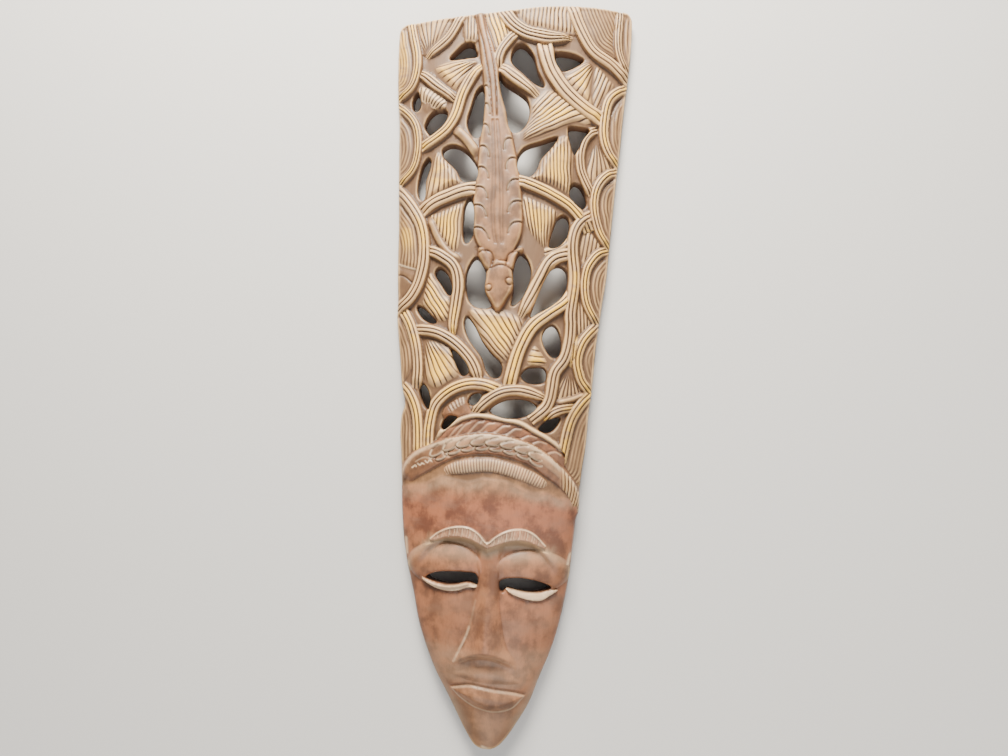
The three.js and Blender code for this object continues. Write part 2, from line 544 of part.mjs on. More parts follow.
function frontPoints() {
  const crowns = [...STRANDS, ...LIZARD].map(([width, , points]) => ({ width, points }));
  const wishes = [];
  for (const { width, points } of crowns) {
    wishes.push(...besidePath({ points }, width, [0], STRAND_STEP));
  }
  wishes.push(...besidePath(band, 20, [0, -0.55, 0.55, -1, 1, -1.1, 1.1], STRAND_STEP));
  wishes.push(...besidePath(fringe, 14, [0, -1, 1, -1.1, 1.1], STRAND_STEP));
  wishes.push(...besidePath(rim, 5, [0, -1.1], STRAND_STEP));
  for (const drop of [1.5, -1.5, -7]) {
    wishes.push(...resample(BROW.map(([x, h]) => [x, h + drop]), 8));
  }
  for (const lid of LIDS) {
    for (const ring of [1.02, 0.8, 0.45]) {
      for (let k = 0; k < 20; k += 1) {
        const angle = (k * Math.PI) / 10;
        wishes.push([lid.x + lid.a * ring * Math.cos(angle),
          lid.h + lid.b * ring * Math.sin(angle)]);
      }
    }
  }
  for (let h = 84; h < 205; h += 6) {
    const centre = lerpTable(NOSE_CENTRE, h);
    const half = lerpTable(NOSE_HALF_WIDTH, h);
    for (const side of [0, -0.5, 0.5, -1, 1]) wishes.push([centre + side * half, h]);
  }
  for (let x = -36; x <= 40; x += 7) {
    const base = NOSE_BASE - 16 * ((x - 2) / 36) ** 2;
    wishes.push([x, base - 6], [x, base + 2.5]);
  }
  wishes.push(...mouth.filter((_, i) => i % 2 === 0));
  for (const side of [-1, 1]) {
    wishes.push(...mouth.filter((_, i) => i % 2 === 0).map(([x, y]) => [x, y + side * 4.5]));
  }
  wishes.push(...ledges.flatMap((ledge) => besidePath(ledge, 7, [0, -1.1], 9)));
  for (const { width, points } of crowns) {
    wishes.push(...besidePath({ points }, width, [-1, 1], STRAND_STEP));
  }
  for (const { width, points } of crowns) {
    wishes.push(...besidePath({ points }, width, [-1.1, 1.1], STRAND_STEP));
  }
  for (const [, , loop] of LEAVES) wishes.push(...resample(loop, 11, true));
  wishes.push(...aroundLoop(outline, 5 * turnedInward(outline)));
  wishes.push(...grid(FACE_STEP, 4, 300), ...grid(11, 300, 890));
  return wishes;
}

// One closed skin: carved front, hollowed back and the walls between them.
function maskGeometry() {
  const front = new Net(outline, openings);
  for (const [x, y] of keepApart(frontPoints(), CLOSEST_POINTS)) front.insert(x, y);
  const back = new Net(outline, openings);
  const land = aroundLoop(outline, (REST_LAND - 0.3) * turnedInward(outline));
  const slope = aroundLoop(outline, (REST_LAND + LAND_SLOPE) * turnedInward(outline));
  for (const [x, y] of keepApart([...land, ...slope, ...grid(BACK_STEP, 10, 880)], 6)) {
    back.insert(x, y);
  }

  const shared = outline.length + openings.flat().length;
  const positions = [];
  for (const [x, y] of front.points) positions.push(x, y, frontHeight(x, y));
  for (const [x, y] of back.points) positions.push(x, y, backHeight(x, y));
  for (let i = 0; i < positions.length; i += 3) {
    positions[i] -= centre[0];
    positions[i + 1] -= centre[1];
  }

  const offset = front.points.length;
  const index = front.triangles.flat();
  for (const [a, b, c] of back.triangles) index.push(offset + a, offset + c, offset + b);
  for (const side of front.sides.keys()) {
    const [a, b] = side.split(",").map(Number);
    if (a >= shared || b >= shared || front.sides.has(`${b},${a}`)) continue;
    index.push(a, offset + a, offset + b, a, offset + b, b);
  }

  const geometry = new THREE.BufferGeometry();
  geometry.setAttribute("position", new THREE.Float32BufferAttribute(positions, 3));
  geometry.setIndex(index);
  geometry.computeVertexNormals();
  return geometry;
}

const stainedWood = new THREE.MeshStandardMaterial({
  color: new THREE.Color(0.3, 0.16, 0.095),
  roughness: 0.42,
  metalness: 0,
});
const mask = new THREE.Mesh(maskGeometry(), stainedWood);
mask.name = "mask";

const part = new THREE.Group();
part.add(mask);
export default part;
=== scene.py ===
import math
import bpy
import numpy as np
from mathutils import Matrix, Vector


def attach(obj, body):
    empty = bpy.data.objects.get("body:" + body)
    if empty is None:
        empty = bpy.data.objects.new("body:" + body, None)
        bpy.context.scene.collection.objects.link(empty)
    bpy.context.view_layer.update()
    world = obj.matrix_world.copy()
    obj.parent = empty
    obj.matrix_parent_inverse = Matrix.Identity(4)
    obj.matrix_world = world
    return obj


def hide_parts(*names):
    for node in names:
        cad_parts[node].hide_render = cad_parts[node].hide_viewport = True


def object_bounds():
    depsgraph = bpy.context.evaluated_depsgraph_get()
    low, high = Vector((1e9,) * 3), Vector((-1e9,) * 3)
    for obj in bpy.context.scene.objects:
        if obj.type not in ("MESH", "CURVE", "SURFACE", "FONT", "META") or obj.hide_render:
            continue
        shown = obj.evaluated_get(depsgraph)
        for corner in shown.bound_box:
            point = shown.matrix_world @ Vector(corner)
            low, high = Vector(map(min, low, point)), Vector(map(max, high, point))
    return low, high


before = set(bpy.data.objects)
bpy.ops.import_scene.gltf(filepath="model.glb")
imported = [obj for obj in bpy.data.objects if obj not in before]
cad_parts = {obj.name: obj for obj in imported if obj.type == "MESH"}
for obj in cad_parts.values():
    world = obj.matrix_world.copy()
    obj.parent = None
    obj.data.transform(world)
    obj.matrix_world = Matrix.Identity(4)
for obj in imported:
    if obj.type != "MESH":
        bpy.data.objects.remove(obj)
cad_box = [[float(v) for v in corner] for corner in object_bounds()]

# Camera, floor and light. The mask lies on its back on a pale floor, and the camera
# looks down on it from above the lower crest, lit mostly from beyond the crest.
# The tables of this file are in millimetres: x from the nose line, y above the chin.
PLAN_MIDDLE = (-0.49, 443.68, 0.0)
EYE = (40.0, 352.0, 748.0)
AIM = (9.0, 416.0, 45.0)
ROLL = math.radians(2.8)
FOCAL_PIXELS = 601.0
FRAME_PIXELS = 1008.0
SENSOR_MM = 36.0
FLOOR_SIZE = 14.0
FLOOR_PALE = (0.62, 0.61, 0.59, 1)
ROOM_LIGHT = (0.96, 0.97, 1.0, 1)
ROOM_STRENGTH = 0.24
LIGHT_AIM = (0.0, 0.0, 0.03)
LIGHTS = (
    ("crest_light", (-0.2, 1.55, 1.0), 0.9, 0.7, 152.0, (1.0, 0.94, 0.84)),
    ("side_light", (1.3, -0.4, 1.3), 1.2, 1.2, 8.0, (1.0, 0.98, 0.96)),
    ("low_light", (0.1, -1.3, 1.4), 1.5, 1.5, 24.0, (1.0, 0.98, 0.96)),
)


def from_plan(point):
    """Plan millimetres to metres about the middle of the mask."""
    return Vector((a - b) / 1000 for a, b in zip(point, PLAN_MIDDLE))


def aimed(location, target, roll=0.0):
    """A matrix at location that looks along its own -Z at target, its +Y turned by roll."""
    ahead = (target - location).normalized()
    up = Vector((-math.sin(roll), math.cos(roll), 0.0))
    right = ahead.cross(up).normalized()
    above = right.cross(ahead)
    turn = Matrix((right, above, -ahead)).transposed().to_4x4()
    return Matrix.Translation(location) @ turn


camera_data = bpy.data.cameras.new("camera")
camera_data.sensor_width = SENSOR_MM
camera_data.lens = SENSOR_MM * FOCAL_PIXELS / FRAME_PIXELS
camera_data.clip_start = 0.01
camera = bpy.data.objects.new("camera", camera_data)
camera.matrix_world = aimed(from_plan(EYE), from_plan(AIM), ROLL)
bpy.context.scene.collection.objects.link(camera)
bpy.context.scene.camera = camera

floor_mesh = bpy.data.meshes.new("floor")
half = FLOOR_SIZE / 2
floor_mesh.from_pydata([(-half, -half, 0), (half, -half, 0), (half, half, 0), (-half, half, 0)],
                       [], [(0, 1, 2, 3)])
floor = bpy.data.objects.new("floor", floor_mesh)
bpy.context.scene.collection.objects.link(floor)
floor_paint = bpy.data.materials.new("pale_floor")
floor_paint.use_nodes = True
floor_shader = floor_paint.node_tree.nodes["Principled BSDF"]
floor_shader.inputs["Base Color"].default_value = FLOOR_PALE
floor_shader.inputs["Roughness"].default_value = 0.8
floor.data.materials.append(floor_paint)

for name, place, wide, high, watts, tint in LIGHTS:
    lamp = bpy.data.lights.new(name, "AREA")
    lamp.shape = "RECTANGLE"
    lamp.size = wide
    lamp.size_y = high
    lamp.energy = watts
    lamp.color = tint
    light = bpy.data.objects.new(name, lamp)
    light.matrix_world = aimed(Vector(place), Vector(LIGHT_AIM))
    bpy.context.scene.collection.objects.link(light)

world = bpy.data.worlds.new("room")
world.use_nodes = True
background = world.node_tree.nodes["Background"]
background.inputs["Color"].default_value = ROOM_LIGHT
background.inputs["Strength"].default_value = ROOM_STRENGTH
bpy.context.scene.world = world


# The board. One plank is cut to the long outline, rounded across its front, hollowed
# behind, and pierced with openings and two eye slits. All carving is measured from its
# front surface.
OUTLINE = (
    (5, -11), (20, -9), (30, 0), (41, 16), (55, 40), (65, 68), (77.5, 100), (86.5, 132),
    (93, 165), (96.5, 191), (98, 214), (100, 240), (101.5, 256), (104, 262), (104.5, 291),
    (106.5, 312), (110.5, 345), (112.5, 382), (115, 405), (117, 432), (118.5, 460), (121, 482),
    (124.5, 515), (128.5, 545), (131.5, 590), (134.5, 635), (137.5, 680), (140, 706),
    (142.5, 745), (145, 780), (147.5, 803), (150, 840), (151, 880), (150, 892), (145, 898),
    (130, 897), (100, 895), (75, 892.5), (50, 889.5), (25, 886), (5, 882.5), (-12, 880),
    (-35, 877.5), (-60, 876), (-125, 875), (-143, 876), (-150.5, 871), (-151.5, 840),
    (-150, 805), (-147.5, 770), (-144.5, 748), (-142, 705), (-140, 668), (-138.5, 645),
    (-136, 610), (-134.5, 570), (-133, 540), (-130.5, 508), (-130.5, 490), (-126.5, 462),
    (-121.5, 430), (-118.5, 407), (-114, 390), (-112, 380), (-115.5, 369), (-116, 345),
    (-113, 322), (-110, 292), (-107.5, 259), (-103.5, 222), (-99.5, 203), (-94.5, 180),
    (-88.5, 160), (-78, 120), (-61.5, 80), (-38, 40), (-14.5, 1), (-6, -8.5),
)
OPENINGS = (
    ((-80, 820.5), (-68, 835), (-62, 839.5), (-55, 840), (-50, 837.5), (-47, 830), (-44.5, 822),
     (-56, 820)),
    ((8, 838), (15, 836), (26, 823), (32, 804), (41, 785), (39.5, 782), (28, 787), (13, 800),
     (0, 811.5), (-2, 819), (2, 833)),
    ((53, 828), (58, 830.5), (73, 830.5), (83, 828), (89, 824), (76, 812), (63, 806),
     (55.5, 811), (52, 821)),
    ((-37, 781), (-33, 771), (-32, 745), (-34, 721), (-38.5, 714.5), (-45, 716.5), (-53, 733),
     (-49, 755), (-42.5, 776)),
    ((-16, 796), (-10, 788), (10, 774.5), (20, 766), (24, 752), (21, 733), (12, 722.5),
     (5, 721.5), (0, 726), (-5, 748), (-12.5, 772)),
    ((-122, 781.5), (-118, 776), (-115.5, 764), (-118, 757.5), (-122, 756), (-126.5, 761),
     (-127, 772)),
    ((-99, 752), (-91, 755), (-84, 754), (-79.5, 750), (-80, 741), (-89, 729.5), (-98.5, 720.5),
     (-104, 726), (-108.5, 734), (-105, 745)),
    ((-83, 700), (-78, 705), (-70, 706.5), (-58, 702), (-45, 689.5), (-36, 673), (-37, 661),
     (-45, 657), (-54.5, 659), (-64, 674), (-75, 685), (-80.5, 691)),
    ((-101, 692), (-97.5, 688), (-97.5, 680), (-102.5, 662), (-103, 641), (-106, 637.5),
     (-111, 643), (-113, 656), (-107.5, 684)),
    ((60, 719), (55, 707.5), (41, 689.5), (35.5, 674.5), (28, 666), (20.5, 665.5), (13, 674),
     (13, 691), (20, 702), (40, 711.5)),
    ((74, 733.5), (82, 735.5), (100, 733.5), (91, 716.5), (82.5, 699), (77, 710.5),
     (73.5, 725)),
    ((84, 663), (91, 660), (98, 647), (99.5, 638), (95, 631.5), (89, 633), (79, 645),
     (78, 655)),
    ((71.5, 621), (76.5, 618), (79, 608), (75, 589), (66, 579), (57, 577), (55, 582), (60, 604),
     (65, 616.5)),
    ((-44.5, 637), (-39.5, 628), (-37, 602), (-39.5, 586), (-46, 579.5), (-50, 588), (-51, 612),
     (-49, 630)),
    ((-32.5, 562), (-24, 553), (-18.5, 538), (-19.5, 521), (-11.5, 503), (-15, 500),
     (-28, 500.5), (-38, 508), (-43.5, 530), (-41.5, 549)),
    ((20.5, 569), (29, 562.5), (35, 546), (31, 526), (23, 510.5), (13.5, 503.5), (15, 525),
     (13.5, 548)),
    ((69, 557), (76, 553), (79.5, 540), (75, 520), (64, 508), (46, 495.5), (37, 491), (41, 509),
     (51, 537), (60, 553.5)),
    ((-78.5, 550), (-69, 544), (-62.5, 532), (-60, 517.5), (-63, 515), (-74, 528.5),
     (-83, 543)),
    ((-103, 503), (-97, 501), (-86, 491.5), (-77, 482), (-82, 480.5), (-95, 486.5),
     (-104, 499)),
    ((-40, 489), (-32, 481), (-19, 458.5), (-7, 444), (3, 435), (6, 427), (3, 417), (-5, 416),
     (-13, 424), (-19, 439), (-37, 463.5), (-42.5, 480)),
    ((64, 483.5), (71, 476), (75, 459), (73, 447.5), (67, 443.5), (59, 449.5), (52, 466),
     (56, 479)),
    ((35, 429), (44, 431), (54, 431), (58, 426), (57, 414.5), (48, 411), (36, 412),
     (28.5, 419)),
    ((-56.5, 449), (-45, 440.5), (-35, 428), (-35, 419.5), (-41, 417), (-49, 427.5)),
    ((-91, 406.5), (-84, 400.5), (-79, 384.5), (-80, 375), (-85, 378), (-93, 393), (-94, 403)),
    ((-29.5, 394), (-23, 397), (-17, 396), (-18, 388.5), (-25, 382), (-32, 385)),
    ((-6, 377), (1, 384.5), (14, 390.5), (28, 392), (42, 389.5), (49, 383.5), (42, 375),
     (25, 369), (8, 369)),
    ((-56, 369), (-44.5, 367.5), (-50, 359), (-61, 351.5), (-63, 356)),
    ((77, 372.5), (73, 362), (66, 355), (57, 354.5), (52.5, 358), (62, 369)),
    ((-72, 179.5), (-61, 186.5), (-43, 190), (-23, 190.5), (-13, 189), (-10, 183), (-11, 175.5),
     (-20, 179), (-32, 176), (-50, 174)),
    ((16, 182), (21, 185), (32, 187), (46, 186.5), (59, 183.5), (69, 179.5), (75, 175.5),
     (62, 171), (48, 170), (36, 171.5), (24, 174.5), (18, 169.5), (15, 174)),
)
FRONT_HEIGHTS = ((0, 30), (60, 40), (150, 48), (300, 52), (360, 50), (500, 46), (890, 44))
FRONT_CURVE = ((0, 8), (60, 16), (150, 24), (300, 26), (500, 26), (890, 27))
MIDDLE_LINE = ((-11, 10), (40, 9), (68, 6), (100, 4.5), (165, 1.5), (250, 0))
HALF_WIDTHS = ((-11, 22), (0, 28), (16, 35), (40, 47), (68, 60), (120, 79), (200, 97),
               (290, 106), (360, 110), (890, 148))
BOARD_THICKNESS = 19.0
REST_LAND = 11.0
LAND_SLOPE = 18.0
CELL = 1.0
SPAN_STEPS = 16
OPENING_REACH = 14
LATTICE = (160, 60)


def smooth_path(points, step, closed=False):
    """Centripetal Catmull-Rom curve through the points, then cut into even steps.

    Each span is a cubic whose end slopes come from the neighbours, weighted by the
    square root of the distances between them."""
    p = np.array(points, float)
    if closed:
        p = np.concatenate([p[-1:], p, p[:2]])
    else:
        p = np.concatenate([2 * p[:1] - p[1:2], p, 2 * p[-1:] - p[-2:-1]])
    a, b, c, d = p[:-3], p[1:-2], p[2:-1], p[3:]
    knots = [np.sqrt(np.linalg.norm((v - u)[:, :2], axis=1))[:, None] + 1e-6
             for u, v in ((a, b), (b, c), (c, d))]
    k0, k1, k2 = knots
    m1 = k1 * ((b - a) / k0 - (c - a) / (k0 + k1) + (c - b) / k1)
    m2 = k1 * ((c - b) / k1 - (d - b) / (k1 + k2) + (d - c) / k2)
    t = (np.arange(SPAN_STEPS) / SPAN_STEPS)[None, :, None]
    b, c, m1, m2 = (v[:, None, :] for v in (b, c, m1, m2))
    curve = ((2 * t**3 - 3 * t**2 + 1) * b + (t**3 - 2 * t**2 + t) * m1
             + (3 * t**2 - 2 * t**3) * c + (t**3 - t**2) * m2)
    curve = np.concatenate([curve.reshape(-1, p.shape[1]), p[-2][None]])
    run = np.concatenate([[0], np.cumsum(np.linalg.norm(np.diff(curve[:, :2], axis=0), axis=1))])
    count = max(8 if closed else 2, int(round(run[-1] / step)))
    even = np.linspace(0, run[-1], count + 1)
    return np.stack([np.interp(even, run, column) for column in curve.T], axis=1)


def nearest(path, x, y):
    """For each point: its signed distance to the path, the path's values at the nearest
    place (width and so on), and how far along the path that is, from 0 to 1."""
    a, step = path[:-1], np.diff(path, axis=0)
    to_x, to_y = x[None] - a[:, :1], y[None] - a[:, 1:2]
    sx, sy = step[:, :1], step[:, 1:2]
    t = np.clip((to_x * sx + to_y * sy) / (sx**2 + sy**2), 0, 1)
    d2 = (to_x - t * sx)**2 + (to_y - t * sy)**2
    best = d2.argmin(axis=0)
    pick = np.arange(len(x))
    side = np.sign(sx[best, 0] * to_y[best, pick] - sy[best, 0] * to_x[best, pick])
    t = t[best, pick]
    values = path[best, 2:] + t[:, None] * step[best, 2:]
    return side * np.sqrt(d2[best, pick]), values, (best + t) / len(a)


def in_loop(loop, x, y):
    """True where a point lies inside the closed loop, by counting the sides it crosses."""
    (x0, y0), (x1, y1) = loop[:-1].T, loop[1:].T
    x0, y0, x1, y1 = (v[:, None] for v in (x0, y0, x1, y1))
    spans = (y0 > y) != (y1 > y)
    with np.errstate(divide="ignore", invalid="ignore"):
        left = x < (x1 - x0) * (y - y0) / (y1 - y0) + x0
    return (spans & left).sum(axis=0) % 2 == 1


def near_box(points, x, y, reach):
    """Indices of the points inside the box around a path, widened by reach."""
    low, high = points[:, :2].min(axis=0) - reach, points[:, :2].max(axis=0) + reach
    return np.flatnonzero((x > low[0]) & (x < high[0]) & (y > low[1]) & (y < high[1]))


def in_pieces(x, y, work, size=16384):
    """Runs work on short stretches of the points, to keep its arrays small."""
    return np.concatenate([work(x[k:k + size], y[k:k + size])
                           for k in range(0, len(x), size)])


def ease(value):
    """0 below 0, 1 above 1, and an even S-curve between."""
    t = np.clip(value, 0, 1)
    return t * t * (3 - 2 * t)


def table(pairs, value):
    """A value read off straight lines between the pairs."""
    at, out = np.array(pairs, float).T
    return np.interp(value, at, out)


rng = np.random.default_rng(41)
tool_lattice = rng.uniform(-1, 1, LATTICE)


def hand_work(x, y, pitch_x, pitch_y, start=0):
    """Unevenness of hand work: random values on a lattice, joined by S-curves."""
    u, v = x / pitch_x + 97 + start, y / pitch_y + 29 + start
    column, row = np.floor(u).astype(int), np.floor(v).astype(int)
    s, t = ease(u - column), ease(v - row)
    rows, columns = LATTICE
    a, b, c, d = (tool_lattice[(row + j) % rows, (column + i) % columns]
                  for j in (0, 1) for i in (0, 1))
    return (a * (1 - s) + b * s) * (1 - t) + (c * (1 - s) + d * s) * t


plan_box = 1000 * np.array(cad_box)[:, :2] + PLAN_MIDDLE[:2]
outline = np.clip(smooth_path(OUTLINE, 5.0, closed=True), plan_box[0] + 0.1, plan_box[1] - 0.1)
openings = [smooth_path(loop, 3.0, closed=True) for loop in OPENINGS]


def rim_distance(x, y):
    """Distance inward from the outline, negative outside it."""
    def work(px, py):
        return np.abs(nearest(outline, px, py)[0]) * np.where(in_loop(outline, px, py), 1, -1)
    return in_pieces(x, y, work)


def wood_distance(x, y, rim):
    """Distance to the nearest cut edge, positive in the wood and negative in the air."""
    wood = rim.copy()
    for loop in openings:
        near = near_box(loop, x, y, OPENING_REACH)
        gap = np.abs(nearest(loop, x[near], y[near])[0])
        gap *= np.where(in_loop(loop, x[near], y[near]), -1, 1)
        wood[near] = np.minimum(wood[near], gap)
    return wood


def front_surface(x, y):
    """The plain front: a crown height along the middle less a parabola across."""
    across = np.minimum(1.1, np.abs(x - table(MIDDLE_LINE, y)) / table(HALF_WIDTHS, y))
    return table(FRONT_HEIGHTS, y) - table(FRONT_CURVE, y) * across**2


def back_surface(x, y, rim):
    """The hollow back: an even thickness under the front, down to a flat land at the rim."""
    hollow = np.maximum(0, front_surface(x, y) - BOARD_THICKNESS)
    return hollow * ease((rim - REST_LAND) / LAND_SLOPE)


# The strands. Carved bars twist up the crest, each cut along its length into two to four
# rounded ridges, and some are rubbed with gold. Width, height against the plain front,
# ridges, the heights between which it is golden, then the centre line, whose points may
# carry a width of their own.
# A form that is golden at ALL heights has them from chin to crest.
ALL, NONE = (0, 900), (0, 0)
STRANDS = (
    (10, 0.5, 3, ALL, ((-136, 878), (-131, 858), (-124, 829), (-123, 812), (-127, 793),
     (-133, 784), (-150, 774))),
    (11, -0.5, 3, NONE, ((-66, 880), (-69, 873), (-76, 858), (-84, 846.5), (-94, 838),
     (-113, 824, 6))),
    (11, 0, 3, NONE, ((-121, 808, 8), (-106, 795), (-93, 783), (-67, 763, 8))),
    (12, 0.5, 3, ALL, ((-38, 809, 8), (-51, 790), (-61, 770), (-67, 747), (-71, 737),
     (-79, 725), (-97, 712), (-113, 704))),
    (10, -1.5, 1, NONE, ((-72, 729), (-60, 719), (-50, 708.5), (-35, 688))),
    (9, 0, 3, ALL, ((-148, 767), (-129, 748), (-122, 738), (-117.5, 727), (-115, 707),
     (-118, 685), (-123, 675), (-140, 659))),
    (15, 0.5, 3, NONE, ((-106, 621), (-96, 628), (-83, 635.5), (-68, 641), (-53, 645.5),
     (-34, 649))),
    (13, 1, 3, (575, 612), ((-143, 655), (-125, 636), (-108, 611), (-102.5, 598), (-99, 578),
     (-98.5, 557), (-103, 532), (-108.5, 520), (-116, 510), (-134, 496))),
    (12, 0, 3, (455, 500), ((-97, 573), (-85, 569), (-74, 563), (-63, 555), (-56, 545),
     (-52, 527), (-53.5, 507), (-56, 479, 10), (-55, 462, 5))),
    (8, -1.5, 1, NONE, ((-96, 617), (-83, 590), (-75, 577), (-66, 567), (-48, 556))),
    (12, 0, 3, (455, 505), ((-124, 500), (-111, 478), (-102, 454), (-97, 426), (-98, 400))),
    (12, 0.5, 3, NONE, ((-106, 473), (-82, 470.5), (-60, 461.5), (-40, 445.5), (-26, 426),
     (-20, 409, 8))),
    (12, 0.5, 3, ALL, ((-77, 320), (-78, 355), (-73, 379), (-65.5, 390), (-55, 399),
     (-43, 405), (-29, 408), (-15, 407.5), (8, 401))),
    (11, 1, 3, NONE, ((-25, 372, 7), (-18, 381), (-9, 389.5), (1, 396.5), (12, 401), (25, 402.5),
     (38, 401), (62, 394, 6))),
    (12, 0, 3, ALL, ((-117, 404), (-108, 396), (-101, 385), (-96, 373), (-93, 360),
     (-90, 318))),
    (14, 0.5, 3, ALL, ((86, 524), (78, 513), (58, 497), (39, 479), (26, 454), (19, 427),
     (15, 404))),
    (14, 0, 3, NONE, ((88, 573), (75, 570.5), (64, 566), (56, 558), (45, 535), (35, 512),
     (24, 489, 7))),
    (9, -1, 2, NONE, ((48, 571), (58, 574), (68, 579), (76, 586), (80, 597))),
    (12, 1, 3, (515, 565), ((108, 626), (99, 619), (91, 610), (86, 598), (84, 585), (84.5, 572),
     (88, 547), (88, 534), (84.5, 497), (85.5, 484), (84, 459), (79, 441.5), (69, 426),
     (65.5, 405), (63.5, 393), (59, 383), (42, 367.5))),
    (13, 0.5, 3, ALL, ((10, 660.5), (26, 655.5), (54, 645.5), (80, 631), (98, 613),
     (104, 603))),
    (10, 0, 3, ALL, ((131, 585), (117, 577), (109, 567), (103.5, 556), (101, 536),
     (103.5, 517), (108, 506), (120, 488))),
    (11, 0, 3, ALL, ((121, 490), (104, 470), (99, 460), (96, 449), (95.5, 438), (98, 428),
     (102, 418), (115, 403))),
    (8, 0, 2, ALL, ((92, 474), (90, 450), (89, 434))),
    (12, 0, 3, ALL, ((116, 405), (106, 395), (98, 384), (92, 373), (88, 361), (80, 318))),
    (10, -0.5, 3, ALL, ((58, 368), (66, 376), (76, 381.5), (99, 387))),
    (6, -1, 1, NONE, ((68, 389), (92, 396), (114, 406))),
    (10, -0.5, 3, NONE, ((111, 737), (101, 729), (94, 719), (89, 700), (91, 680), (96, 668),
     (108, 646))),
    (10, 0.5, 3, ALL, ((138, 686), (127, 680), (119, 672), (113, 661.5), (109.5, 649),
     (109, 636), (111, 623), (119, 601), (132, 585))),
    (11, 0, 3, ALL, ((147, 798), (128, 782), (122, 771), (118, 743), (118, 731),
     (121, 717), (127, 705), (141, 691))),
    (17, 1, 3, (690, 760), ((39, 838), (42, 824), (46.5, 810), (53, 797), (70, 776), (93, 759),
     (117, 747))),
    (16, 0.5, 4, NONE, ((-15, 882), (-9, 871), (-2, 862), (8, 854.5), (20, 849.5),
     (40, 846.5), (56, 847, 12), (74, 850, 5))),
    (14, 0.5, 3, (440, 490), ((71, 894), (79, 872), (90, 850), (97, 840), (106, 832.5),
     (127, 822), (149, 805))),
    (9, 0, 3, NONE, ((134, 898), (132.5, 857), (134, 842), (139, 829), (148, 815))),
    (11, 0, 3, (330, 390), ((4, 853), (-10, 834), (-15, 825), (-18, 814), (-18, 801))),
    (14, 0, 3, NONE, ((-17, 807, 10), (2, 793), (34, 769, 8))),
)
GROUND = -6.2
STRAND_CUT = 1.5
GOLD_FADE = 22.0
FLANK = 2.0
END_DIVE = 6.5


def as_path(points, width, step=3.0):
    """The smooth centre line of a bar, with its width in the third column."""
    return smooth_path([p if len(p) == 3 else (*p, width) for p in points], step)


def bar(path, lift, x, y, end_dive=END_DIVE):
    """Height of a rounded bar: a crown at the lift with shoulders 2 mm lower, then even
    flanks. Also the place across it, -1 to 1, the place along it, and how far a point is
    from its ends. Past an end its sides run on, and it dives under what lies there."""
    distance, values, along = nearest(path, x, y)
    inner = np.full(len(x), 99.0)
    for end, before in ((0, 1), (-1, -2)):
        tangent = path[end, :2] - path[before, :2]
        tangent /= np.linalg.norm(tangent)
        to_x, to_y = x - path[end, 0], y - path[end, 1]
        past = to_x * tangent[0] + to_y * tangent[1]
        at_end = (along <= 0) if end == 0 else (along >= 1)
        flip = -1 if end == 0 else 1
        lateral = flip * (tangent[0] * to_y - tangent[1] * to_x)
        distance = np.where(at_end & (past > 0), lateral, distance)
        inner = np.minimum(inner, np.where(at_end & (past > 0), -past, np.hypot(to_x, to_y)))
    across = distance / (values[:, 0] / 2)
    beyond = np.maximum(0, np.abs(distance) - values[:, 0] / 2)
    dive = end_dive * (1 - ease((inner + 3) / 17)) + np.maximum(0, -inner) * 1.5
    height = lift - 2 * np.minimum(1, across**2) - FLANK * beyond - dive
    return height, across, along, inner


def between(low_high, y):
    """1 where y lies between the two heights, fading out over a short way."""
    low, high = low_high
    return ease((y - low) / GOLD_FADE + 0.5) * ease((high - y) / GOLD_FADE + 0.5) * (high > low)


class Carving:
    """What is carved at each point: height over the plain front, phase of its cut lines
    (one falls at each whole number), their pitch in mm, depth of the cuts, gold, cream wear
    with painted highlights, redness, and dirt with painted shade."""

    def __init__(self, x, y):
        self.x, self.y = x, y
        self.height = np.full(len(x), GROUND)
        self.phase, self.pitch = np.full((2, len(x)), 0.5)
        self.cut, self.gold, self.cream, self.red, self.dirt_and_shade = np.zeros((5, len(x)))

    def lay(self, near, height, phase=0.5, pitch=4.0, cut=0.0, gold=0.0, cream=0.0, red=0.0):
        """Puts a form over the points near it wherever it stands higher than the rest."""
        above = height > self.height[near]
        spot = near[above]
        self.height[spot] = height[above]
        for name, value in (("phase", phase), ("pitch", pitch), ("cut", cut), ("gold", gold),
                            ("cream", cream), ("red", red), ("dirt_and_shade", 0.0)):
            getattr(self, name)[spot] = np.broadcast_to(value, height.shape)[above]

    def score(self, path, depth, reach, cream=0.0, dirt_and_shade=0.0):
        """Cuts a V line, or with a negative depth raises a fine bead, along a path."""
        near = near_box(path, self.x, self.y, 3 * reach)
        gap = np.abs(nearest(path, self.x[near], self.y[near])[0]) / reach
        mark = np.exp(-gap**2)
        self.height[near] -= depth * mark
        self.cream[near] = np.maximum(self.cream[near], cream * mark)
        self.dirt_and_shade[near] = np.maximum(self.dirt_and_shade[near], dirt_and_shade * mark)


strand_paths = [as_path(points, width) for width, lift, ridges, gold, points in STRANDS]


def carve_strands(carving):
    """Every strand with its ridges and its gold."""
    for (width, lift, ridges, gold, points), path in zip(STRANDS, strand_paths):
        near = near_box(path, carving.x, carving.y, width / 2 + 8)
        x, y = carving.x[near], carving.y[near]
        height, across, _, inner = bar(path, lift, x, y)
        phase = (ridges + across * (ridges - 0.5)) / 2 + 0.1 * hand_work(x, y, 15, 24, width)
        inside = ease((1.12 - np.abs(across)) / 0.12)
        strength = 0.8 + 0.3 * hand_work(x, y, 21, 21, ridges)
        cut = STRAND_CUT * (ridges > 1) * inside * strength * ease((inner + 2) / 6)
        rubbed = between(gold, y) * np.exp(-((across - 0.05) / 0.6)**2)
        carving.lay(near, height, phase, width / (ridges - 0.5), cut, rubbed * inside)


